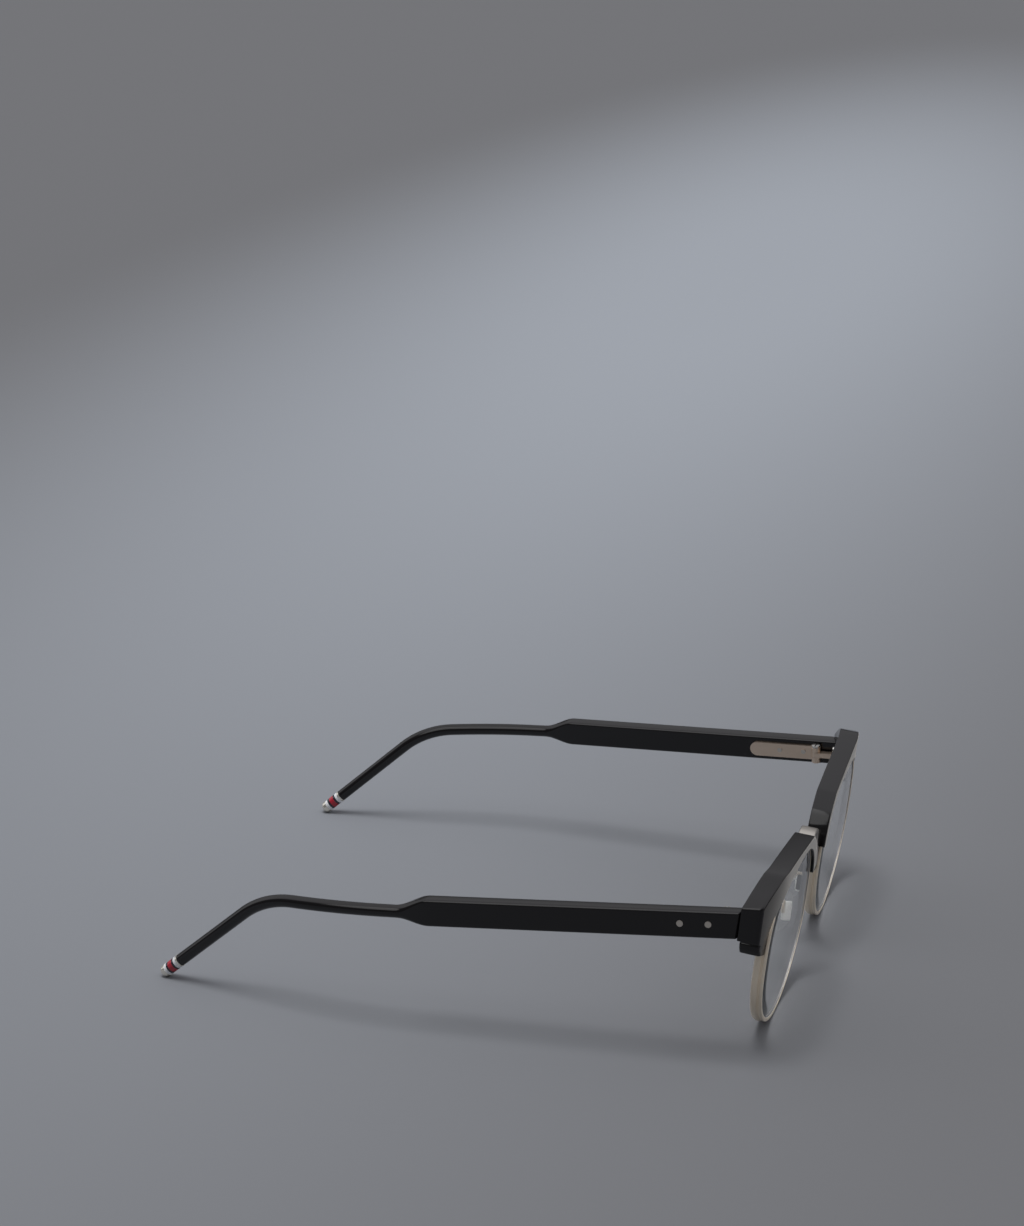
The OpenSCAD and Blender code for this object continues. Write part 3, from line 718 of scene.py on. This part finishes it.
@dataclass
class Rim(Paired):
    """A thin metal rim with two flanges and a shallow channel between them."""

    steps: int = 168
    front: float = 0.85
    groove: float = 0.32
    groove_depth: float = 0.3
    crown: float = 0.16
    corner_radii: tuple[float, ...] = (0.12, 0.2, 0.15, 0.08, 0.08, 0.12, 0.3, 0.3, 0.3, 0.2, 0.25, 0.15)
    lens_front: float = -1.1
    shade_facing_in: float = 0.5

    def profile(self) -> list[Point]:
        """The rim's section: distance outside the lens edge, and depth backwards."""
        out, inner, half = BUILD.rim_out, -BUILD.rim_in, BUILD.rim_depth / 2
        floor, lip = out - self.groove_depth, self.front - half
        band = lip + self.groove
        start, end = band + 0.12, half - 0.3
        corners = [(inner, -half), (out - 0.08, -half), (out, lip - 0.2), (floor, lip), (floor, band), (out, start)]
        for t in (0.25, 0.5, 0.75):
            corners.append((out + self.crown * math.sin(math.pi * t), start + (end - start) * t))
        corners += [(out, end), (out - 0.3, half), (inner, half)]
        return round_corners(corners, self.corner_radii, 4)

    def build(self, dresser: Dresser) -> None:
        """Builds the rim, with painted shade on its inner faces behind the lens's front."""
        section = self.profile()
        rings = [[Vector((*BUILD.outline(off, 360 * i / self.steps), y)).xzy for off, y in section]
                 for i in range(self.steps)]
        obj = self.skin("eyewire", BUILD.eye, rings, closed=True)
        dresser.dress(obj, "rim_metal", "front", self.named("rim"))
        # Painted shade: inner faces behind the lens's front get the dim grey metal in place of the champagne.
        obj.data.materials.append(dresser.material("rim_inside_painted_shade"))
        middle = place(self.side, BUILD.eye, [[Vector((0, 0, 0))]])[0][0]
        for face in obj.data.polygons:
            inwards = middle - face.center
            inwards.y = 0
            at = face.center / MM
            at.x *= self.side.value
            depth = BUILD.eye_inverse(at).y
            if depth > self.lens_front and face.normal.dot(inwards.normalized()) > self.shade_facing_in:
                face.material_index = 1


@dataclass
class Lens(Paired):
    """A thin lens that bulges a little forwards."""

    thickness: float = 1.8
    bulge: float = 0.5
    forward: float = 0.45
    steps: int = 120
    inner: int = 12
    centre: float = 0.02
    edge: float = 0.7

    def build(self, dresser: Dresser) -> None:
        """Builds the lens as a closed shell of rings from front centre to rear centre."""
        shares = [self.centre + (1 - self.centre) * (k / self.inner) for k in range(self.inner + 1)]
        path = [(f, -1) for f in shares] + [(f, 1) for f in reversed(shares)]
        rings: list[Ring] = []
        for f, face in path:
            thinned = self.edge if f > 0.999 else 1
            y = face * self.thickness / 2 * thinned - self.bulge * (1 - f * f) - self.forward
            ring = []
            for i in range(self.steps):
                x, z = BUILD.outline(-BUILD.rim_in - 0.02, 360 * i / self.steps)
                ring.append(Vector((x * f, y, z * f)))
            rings.append(ring)
        dresser.dress(self.skin("clear_lens", BUILD.eye, rings), "lens", "front", self.named("lens"))


@dataclass
class Brow(Paired):
    """A solid black brow with its end block, recessed tab, front lip and nasal tail."""

    step: float = 0.5
    flare: float = 0.9
    nose_angles: tuple[int, ...] = (176, 170, 164, 158, 152, 147, 143, 139)
    top_steps: int = 60
    tail_steps: int = 26
    painted_sheen_facing: float = -0.9

    def outer_path(self) -> list[Point]:
        """The brow's outer outline from the nasal end over the top to the tab's lower end."""
        b = BUILD
        off = b.rim_out + b.brow_nose_t
        nose = [b.outline(off, a) for a in self.nose_angles]
        nose = [(x, z) for x, z in nose if b.lip_end < z < b.brow_top(x) - 0.3]
        tries = (-b.half_w - 4 + 0.05 * i for i in range(400))
        corner_x = next(x for x in tries if self._outside(x, b.brow_top(x)) <= 0)
        xs = [corner_x + (b.block_x - corner_x) * i / self.top_steps for i in range(self.top_steps + 1)]
        top = [(x, b.brow_top(x)) for x in xs]
        tab, low = b.block_x - b.tab_recess, b.block_low
        side = [(b.block_x, low), (tab + 0.05, low - 0.34), (tab + 0.35, low - 0.85), (tab + 0.2, low - 2.2),
                (tab - 0.35, low - b.tab_h)]
        ends = (b.outline(off, a / 4) for a in range(720, 500, -1))
        start = next(end for end in ends if end[1] >= b.lip_end)
        radii = [0.0, *[0.0] * len(nose), 0.7, *[0.0] * (len(top) - 2), 0.5, 0.35, 0.08, 0.25, 0.5, 0.0]
        return self._blend(self._soften([start, *nose, *top, *side], radii), top[0])

    @staticmethod
    def _blend(path: list[Point], corner: Point, reach: float = 5.0, passes: int = 14) -> list[Point]:
        """Eases an outline within reach of one corner by averaging its points there, pass after pass."""
        points = [Vector(p) for p in path]
        near = [i for i in range(1, len(points) - 1) if (points[i] - Vector(corner)).length < reach]
        for _ in range(passes):
            points = [(points[i - 1] + p * 2 + points[i + 1]) / 4 if i in near else p for i, p in enumerate(points)]
        return [tuple(p) for p in points]

    @staticmethod
    def _outside(x: float, z: float) -> float:
        """How far a point lies outside the outline that bounds the nasal end."""
        off = BUILD.rim_out + BUILD.brow_nose_t
        n, h = BUILD.half_shape(z, off)
        return (abs(x) / (BUILD.half_w + off)) ** n + (abs(z) / h) ** n - 1

    def _soften(self, corners: list[Point], radii: list[float]) -> list[Point]:
        """Rounds an open outline's corners, each by its own radius, and spaces its points evenly."""
        dense: list[Point] = []
        befores, afters = [corners[0], *corners], [*corners[1:], corners[-1]]
        for before, corner, after, radius in zip(befores, corners, afters, radii):
            if radius:
                arc = corner_arc(Vector(before), Vector(corner), Vector(after), radius, 6)
            else:
                arc = [Vector(corner)]
            for point in arc:
                if dense:
                    last = Vector(dense[-1])
                    pieces = max(1, int((point - last).length / self.step))
                    dense += [tuple(last.lerp(point, k / pieces)) for k in range(1, pieces)]
                dense.append(tuple(point))
        return dense

    def body(self) -> Object:
        """The brow's main body."""
        b = BUILD
        rings: list[Ring] = []
        lip = -b.rim_depth / 2 - 0.05
        for point in self.outer_path():
            outer = Vector(point)
            near = Vector(b.outline_towards(point, -b.rim_in - 0.04))
            far = Vector(b.outline_towards(point, b.rim_out + 0.05))
            out = (outer - near).normalized()
            reach = (outer - near).length
            step = (far - near).length
            tab = ease((b.block_low - outer.y) / 0.5) if outer.x > 0 else 0.0
            end = ease((outer.x - 21) / 8)
            back = b.brow_back - 0.35 * tab
            corners = [(0, -b.brow_front), (reach, -b.brow_front), (reach, back), (step, back), (step, lip), (0, lip)]
            ring = []
            for along, y in round_corners(corners, [0.3, 0.45 + 0.5 * end, 0.4 + 0.4 * tab, 0.4, 0.05, 0.1], 6):
                at = near + out * along
                rise = self.flare * end * (b.brow_back - y) / (b.brow_back + b.brow_front)
                rise *= ease((at.y - b.block_low) / b.block_h)
                ring.append(Vector((at.x, y + b.sweep(at.x), at.y + rise)))
            rings.append(ring)
        return self.skin("brow_body", b.eye, self._blunt(rings))

    @staticmethod
    def _blunt(rings: list[Ring], reach: float = 0.35) -> list[Ring]:
        """Rounds both open ends with two smaller rings each."""
        out = list(rings)
        for end, ahead in ((0, 1), (-1, -2)):
            ring = rings[end]
            centre = sum(ring, Vector()) / len(ring)
            inward = (sum(rings[ahead], Vector()) / len(ring) - centre).normalized()
            width = max((p - centre).length for p in ring)
            small = [centre + (p - centre) * (1 - reach / width) for p in ring]
            between = [p + (q + inward * 0.02 - p) * 0.55 + inward * 0.1 for p, q in zip(small, ring)]
            if end == 0:
                out = [small, between, *out]
            else:
                out = [*out, between, small]
        return out

    def tail(self) -> Object:
        """The thin tail behind the rim's front flange, beside the nose."""
        b = BUILD
        rings: list[Ring] = []
        front = -b.rim_depth / 2 + 0.85
        for share in (i / self.tail_steps for i in range(self.tail_steps + 1)):
            z = b.tail_end + (b.lip_end + 1.2 - b.tail_end) * share
            width = b.brow_nose_t * (0.95 - 0.5 * (1 - share) ** 3)
            near, far = -b.outline_x(z, b.rim_out + 0.02), -b.outline_x(z, b.rim_out + width)
            section = rounded_box((near, far), (front, b.brow_back), (0.15, 0.4, 0.5, 0.3))
            rings.append([Vector((x, y, z)) for x, y in section])
        return self.skin("brow_tail", b.eye, rings)

    def build(self, dresser: Dresser) -> None:
        """Builds the brow, with a painted sheen on its front faces."""
        obj = join(self.named("acetate_brow"), [self.body(), self.tail()])
        dresser.dress(obj, "acetate", "front", self.named("brow"))
        # Faces that point forwards get the painted-sheen finish.
        obj.data.materials.append(dresser.material("brow_front"))
        for face in obj.data.polygons:
            if face.normal.y < self.painted_sheen_facing:
                face.material_index = 1


@dataclass
class Bridge:
    """The arched metal bridge between the rims."""

    steps: int = 12
    top: float = 14.6
    half: tuple[Point, ...] = ((-8.0, 2.4), (-7.1, 4.6), (-6.1, 7.6), (-5.3, 10.4), (-3.7, 13.1), (-1.7, 14.35))
    thick: float = 0.8
    rounding: float = 0.55

    def build(self, dresser: Dresser) -> None:
        """Builds the bridge as a rounded strip over a smooth arch."""
        b = BUILD
        knots = [*self.half, (0, self.top), *((-x, z) for x, z in reversed(self.half))]
        line = spline([Vector((x, 0, z)) for x, z in knots], self.steps)
        rings: list[Ring] = []
        for i, centre in enumerate(line):
            ahead = (line[min(i + 1, len(line) - 1)] - line[max(i - 1, 0)]).normalized()
            out = Vector((-ahead.z, 0, ahead.x))
            share = ease((centre.z - 4.5) / 7.0)
            depth = (-0.95 - 0.35 * (1 - share), 0.3 + 3.2 * share)
            section = rounded_box((-self.thick, self.thick), depth, self.rounding, 6)
            rings.append([centre + out * r + Vector((0, y, 0)) for r, y in section])

        def move(p: Vector) -> Vector:
            """Moves a point of the bridge's frame into the open glasses."""
            return Vector((0, -b.middle, b.eye_z)) + turned((b.tilt, "X")) @ p

        obj = skin("arched_bridge", place(Side.LEFT, move, rings), angle=Edge.SOFT)
        # The bridge takes the darker, painted-shade copy of the rim metal.
        dresser.dress(obj, "rim_metal", "front", "bridge", finish="bridge")


@dataclass
class Temple(Paired):
    """A black temple: wide and flat beside the eye, slim and round behind it, and bent over the ear."""

    around: int = 9
    edge: float = 0.75
    taper: float = 9.0
    gap_share: float = 0.15
    front_rounding: tuple[Pair, ...] = ((0.12, 0.0), (0.04, 0.03), (0.0, 0.12), (0.0, 0.3))

    def front_y(self, x: float, z: float) -> float:
        """Where along the temple its front end lies at x across and z up, so that it follows the end block."""
        b = BUILD
        y = -3.5
        for _ in range(4):
            at = b.eye_inverse(b.temple(Vector((x, y, z))))
            y += b.brow_back + b.sweep(at.x) + b.joint_gap * self.gap_share - at.y
        return y

    def section(self, half_t: float, half_h: float, radius: float) -> list[Point]:
        """A rounded section with the same number of points at every place."""
        out: list[Point] = []
        r = min(radius, half_t, half_h)
        for cx, cz, start in ((-1, -1, 180), (1, -1, 270), (1, 1, 0), (-1, 1, 90)):
            for k in range(self.around):
                a = math.radians(start + 90 * k / (self.around - 1))
                out.append((cx * (half_t - r) + r * math.cos(a), cz * (half_h - r) + r * math.sin(a)))
        return out

    def stations(self) -> list[tuple[Vector, Vector, Vector, float, float, float]]:
        """Places along the temple: centre, sideways, upwards, half thickness, half height and radius of each."""
        b = BUILD
        line = b.line
        wide = Vector((b.hinge_inset + b.temple_t / 2, 0, 0))
        out, thin = [], []
        side, up = Vector((1, 0, 0)), Vector((0, 0, 1))
        end, slim = b.temple_wide_l, b.slim_d / 2
        half_t, half_h = b.temple_t / 2, b.temple_h / 2
        for y in (2.0, 8.0, 20.0, 40.0, 60.0, 70.0, end - 3.0, end - 1.0):
            out.append((wide + Vector((0, y, 0)), side, up, half_t, half_h, self.edge))
        for t in (k / 14 for k in range(1, 15)):
            s = ease(t)
            centre = wide.lerp(line, s) + Vector((0, end - 1.0 + self.taper * t, 0))
            out.append((centre, side, up, half_t * (1 - s) + slim * s, half_h * (1 - s) + slim * s,
                        self.edge + (slim - self.edge) * min(1.0, s * 1.15)))
        turn_start = end + 4.5
        turn_r = (b.bend_start - turn_start) / math.radians(b.inward_turn)
        first = math.degrees((end + self.taper + 1.0 - turn_start) / turn_r)
        turn_centre = line + Vector((-turn_r, turn_start, 0))
        for k in range(11):
            a = math.radians(first + (b.inward_turn - first) * k / 10)
            aside = Vector((math.cos(a), math.sin(a), 0))
            thin.append((turn_centre + aside * turn_r, aside, up))
        ahead = up.cross(aside)
        bend = thin[-1][0]
        for t in (math.radians(b.bend_angle * k / 18) for k in range(1, 19)):
            tilted = up * math.cos(t) + ahead * math.sin(t)
            thin.append((bend - up * b.bend_r + tilted * b.bend_r, aside, tilted))
        last = thin[-1][0]
        down = ahead * math.cos(math.radians(b.bend_angle)) - up * math.sin(math.radians(b.bend_angle))
        length = self.drop_length(last, down)
        thin += [(last + down * length * share, aside, tilted) for share in (0.25, 0.5, 0.75, 1.0)]
        return out + [(*station, slim, slim, slim) for station in thin]

    def drop_length(self, start: Vector, down: Vector) -> float:
        """Length of the black straight end, from the collar's place in the CAD."""
        low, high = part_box(self.named("tip_collar"))
        collar = (low + high) / 2 / MM
        flip = Vector((self.side.value, 1, 1))
        begin = BUILD.temple(start) * flip
        ahead = (BUILD.temple(start + down) * flip - begin).normalized()
        return (collar - begin).dot(ahead) - 0.3

    def build(self, dresser: Dresser) -> None:
        """Builds the temple."""
        b = BUILD
        rings: list[Ring] = []
        wide = Vector((b.hinge_inset + b.temple_t / 2, 0, 0))
        for inset, back in self.front_rounding:
            ring = []
            for x, z in self.section(b.temple_t / 2 - inset, b.temple_h / 2 - inset, self.edge - inset * 0.4):
                ring.append(Vector((wide.x + x, self.front_y(wide.x + x, z) + back, z)))
            rings.append(ring)
        for centre, side, up, half_t, half_h, radius in self.stations():
            rings.append([centre + side * x + up * z for x, z in self.section(half_t, half_h, radius)])
        obj = self.skin("acetate_temple", b.temple, rings)
        dresser.dress(obj, "acetate", self.named("temple"), self.named("temple"))


@dataclass
class NosePad(Paired):
    """A clear egg-shaped pad with its milky core, which carries a painted glow."""

    rows: int = 28
    around: int = 40
    cup: float = 0.012
    egg: float = 0.14

    def build(self, dresser: Dresser) -> None:
        """Builds the pad and its core."""
        b = BUILD
        body = self.named("nose_pad")
        rings: list[Ring] = []
        for i in range(1, self.rows):
            t = math.pi * i / self.rows
            x = -b.pad_t / 2 * math.copysign(abs(math.cos(t)) ** 0.75, math.cos(t))
            share = math.sin(t) ** 0.55
            ring = []
            for k in range(self.around):
                a = 2 * math.pi * k / self.around
                y = (b.pad_w / 2) * math.cos(a) * (1 - self.egg * math.sin(a)) * share
                z = (b.pad_h / 2) * math.sin(a) * share
                ring.append(Vector((x + self.cup * y * y, y, z)))
            rings.append(ring)
        pad = self.skin("clear_pad", b.pad, rings, angle=Edge.SOFT)
        dresser.dress(pad, "pad", body, body)
        dresser.dress(self.core(), "pad_core", body, self.named("pad_core"))

    def core(self) -> Object:
        """The milky plate inside the pad, with the neck and the stem that hold it; its finish paints a faint glow on
        it.
        """
        plate = ((-0.3, 0.25), (-0.2, 0.0), (0.9, 0.0), (1.15, 0.25))
        box = [self._slab(x, (-3.5 + cut, -1.3 - cut), (-4.2 + cut, 0.9 - cut)) for x, cut in plate]
        neck = [self._slab(x, (-1.9, 0.65), (-0.6, 0.75)) for x in (-0.1, 0.9)]
        neck += [self._slab(x, (-0.65, 0.65), (-0.75, 0.75)) for x in (1.25, 2.0, 3.2)]
        neck.append(self._slab(3.5, (-0.45, 0.45), (-0.5, 0.5)))
        return join(self.named("milky_core_painted_glow"), [self.skin("core_piece", BUILD.pad, rings) for rings in (box, neck)])

    @staticmethod
    def _slab(x: float, across: Point, up: Point) -> Ring:
        """A rounded outline at depth x of the core."""
        return [Vector((x, y, z)) for y, z in rounded_box(across, up, 0.35)]


@dataclass
class PadArm(Paired):
    """The thin metal arm from the rim to the pad, with its two cheeks."""

    radius: float = 0.42
    root_z: float = 6.0

    def build(self, dresser: Dresser) -> None:
        """Builds the arm."""
        b = BUILD
        z0 = self.root_z
        x0 = -b.outline_x(z0, 0) - b.rim_out * 0.3
        half = b.rim_depth / 2
        loop = ((x0, half - 0.25, z0), (x0, half + 0.9, z0), (x0 + 1.4, half + 1.8, z0 - 0.2),
                (x0 + 3.4, half + 2.9, z0 - 2.4))
        stem = b.pad_t / 2 + b.stem_x
        knots = [b.eye(Vector(point)) for point in loop] + [b.pad(Vector((stem, 0, z))) for z in (1.2, -0.6)]
        line = spline(knots, 7)
        radii = [self.radius * (1.25 if i < 3 else 1.0) for i in range(len(line))]
        wire = self.skin("arm_wire", Vector, wire_rings(line, radii), angle=Edge.SOFT)
        cheeks = []
        for sign in (-1, 1):
            rings = []
            for y, shrink in ((0.7, 0.12), (0.76, 0.0), (1.12, 0.0), (1.2, 0.12)):
                outline = rounded_box((1.6 + shrink, 4.4 - shrink), (shrink - 1.8, 1.8 - shrink), 0.6)
                rings.append([Vector((x, sign * y, z)) for x, z in outline])
            cheeks.append(self.skin("arm_cheek", b.pad, rings))
        obj = join(self.named("pad_wire"), [wire, *cheeks])
        dresser.dress(obj, "rim_metal", "front", self.named("pad_arm"))


@dataclass(frozen=True)
class Lamp:
    """A far soft lamp: its direction, apparent width, strength and what it reaches."""

    name: str
    spot: tuple[float, float, float]
    spread: float
    power: float
    glossy: bool

    def build(self) -> None:
        """Adds the lamp; one kind lights matt surfaces, the other only draws highlights."""
        deselect()
        turn = Vector(self.spot).to_track_quat("Z", "Y").to_euler()
        bpy.ops.object.light_add(type="SUN", location=self.spot, rotation=turn)
        lamp = bpy.context.object
        lamp.name = self.name
        lamp.data.angle = math.radians(self.spread)
        lamp.data.energy = self.power
        lamp.visible_glossy = self.glossy
        lamp.visible_diffuse = not self.glossy


LAMPS = (Lamp("overhead_box", (-0.05, 0.1, 1.0), 24.0, 1.6, False),
         Lamp("edge_strip", (-0.62, 0.22, 0.75), 40.0, 0.44, True))


@dataclass(frozen=True)
class Studio:
    """Floor, lamps and world."""

    floor_size: float = 8.0
    floor_tone: Tone = (0.148, 0.15, 0.158)
    # Painted light: a paler patch on the floor round one spot, fading outwards, stands in for a pool of light.
    painted_light_tone: Tone = (0.32, 0.343, 0.38)
    painted_light_spot: Point = (0.24, 0.14)
    painted_light_stretch: float = 0.25
    painted_light_fade: Pair = (0.04, 0.42)
    horizon_tone: Tone = (0.17, 0.172, 0.18)
    blue_share: float = 1.03
    bands: tuple[Pair, ...] = (
        (0.0, 0.07), (0.05, 0.1), (0.1, 0.31), (0.25, 0.55), (0.45, 0.88), (0.62, 0.9), (0.7, 0.12), (1.0, 0.09))

    def build(self) -> None:
        """Builds the floor, the lamps and the world."""
        self._floor()
        self._world()
        for lamp in LAMPS:
            lamp.build()

    def _floor(self) -> None:
        """A floor that runs far past the view, painted paler round one spot as a pool of light."""
        deselect()
        bpy.ops.mesh.primitive_plane_add(size=self.floor_size, location=(0, 0, 0))
        obj = bpy.context.object
        obj.name = "floor"
        made = bpy.data.materials.new("floor_paper")
        made.use_nodes = True
        tree = made.node_tree
        where = add_node(tree, "TexCoord", {}).outputs["Object"]
        stretch = add_node(tree, "Mapping", {"Vector": where, "Scale": (self.painted_light_stretch, 1, 1)})
        far = add_node(tree, "VectorMath", {0: stretch.outputs["Vector"], 1: (*self.painted_light_spot, 0)},
                       operation="DISTANCE")
        near, reach = self.painted_light_fade
        span = add_node(tree, "MapRange", {"Value": far.outputs["Value"], "From Min": reach, "From Max": near},
                        interpolation_type="SMOOTHSTEP")
        mix = add_node(tree, "Mix", {"A": (*self.floor_tone, 1), "B": (*self.painted_light_tone, 1),
                                     "Factor": span.outputs["Result"]}, data_type="RGBA")
        feed(tree, tree.nodes["Principled BSDF"], {"Base Color": mix.outputs["Result"], "Roughness": 0.75,
                                                   "Specular IOR Level": 0.2})
        obj.data.materials.append(made)

    def _world(self) -> None:
        """A world of bands by angle: dim at the floor, brightest overhead and dark on the wearer's right."""
        world = bpy.data.worlds.new("studio")
        bpy.context.scene.world = world
        world.use_nodes = True
        tree = world.node_tree
        split = add_node(tree, "SeparateXYZ", {0: add_node(tree, "TexCoord", {}).outputs["Generated"]}).outputs
        turn = add_node(tree, "Math", {0: split["Z"], 1: split["X"]}, operation="ARCTAN2")
        share = add_node(tree, "Math", {0: turn.outputs[0], 1: math.pi}, operation="DIVIDE")
        bands = add_node(tree, "ValToRGB", {"Fac": share.outputs[0]})
        stops = bands.color_ramp.elements
        while len(stops) < len(self.bands):
            stops.new(0.5)
        for stop, (place_in_turn, level) in zip(stops, self.bands):
            stop.position = place_in_turn
            stop.color = (level, level, level * self.blue_share, 1)
        path = add_node(tree, "LightPath", {}).outputs
        seen = add_node(tree, "Math", {0: path["Is Camera Ray"], 1: path["Is Transmission Ray"]}, operation="MAXIMUM")
        shown = add_node(tree, "Mix", {"Factor": seen.outputs[0], "A": bands.outputs["Color"],
                                       "B": (*self.horizon_tone, 1)}, data_type="RGBA")
        feed(tree, tree.nodes["Background"], {"Color": shown.outputs["Result"]})


@dataclass(frozen=True)
class View:
    """The photograph's viewpoint, found from both eyes and both temples."""

    azimuth: float = -73.235
    elevation: float = 17.773
    focal: float = 2670.2
    distance: float = 726.4
    shift_u: float = 22.95
    shift_v: float = -68.07
    frame_height: float = 1226.0
    front_offset: float = 2.4
    aim_y: float = 60.0
    aim_z: float = 20.0
    sensor: float = 24.0
    clip: Pair = (0.05, 20.0)

    def build(self) -> None:
        """Makes the camera."""
        a, e = math.radians(self.azimuth), math.radians(self.elevation)
        back = Vector((math.sin(a) * math.cos(e), -math.cos(a) * math.cos(e), math.sin(e)))
        right = Vector((math.cos(a), math.sin(a), 0))
        up = back.cross(right)
        aim = Vector((0, self.aim_y - self.front_offset - BUILD.middle, self.aim_z))
        spot = aim - right * self.shift_u - up * self.shift_v + back * self.distance
        data = bpy.data.cameras.new("photo_view")
        camera = bpy.data.objects.new("photo_view", data)
        bpy.context.scene.collection.objects.link(camera)
        turn = Matrix((right, up, back)).transposed().to_4x4()
        camera.matrix_world = Matrix.Translation(spot * MM) @ turn
        data.sensor_fit = "VERTICAL"
        data.sensor_height = self.sensor
        data.lens = self.focal / self.frame_height * self.sensor
        data.clip_start, data.clip_end = self.clip
        bpy.context.scene.camera = camera


def main() -> None:
    """Builds the glasses in order, then the studio and the camera."""
    logging.basicConfig(level=logging.INFO, format="%(name)s: %(message)s")
    bpy.context.scene.view_settings.view_transform = "Standard"
    View().build()
    dresser = Dresser(Effects())
    dresser.dress_nodes()
    for side in Side:
        for kind in (Rim, Lens, Brow, PadArm, NosePad, Temple):
            kind(side).build(dresser)
    Bridge().build(dresser)
    Studio().build()


if __name__ == "__main__":
    main()
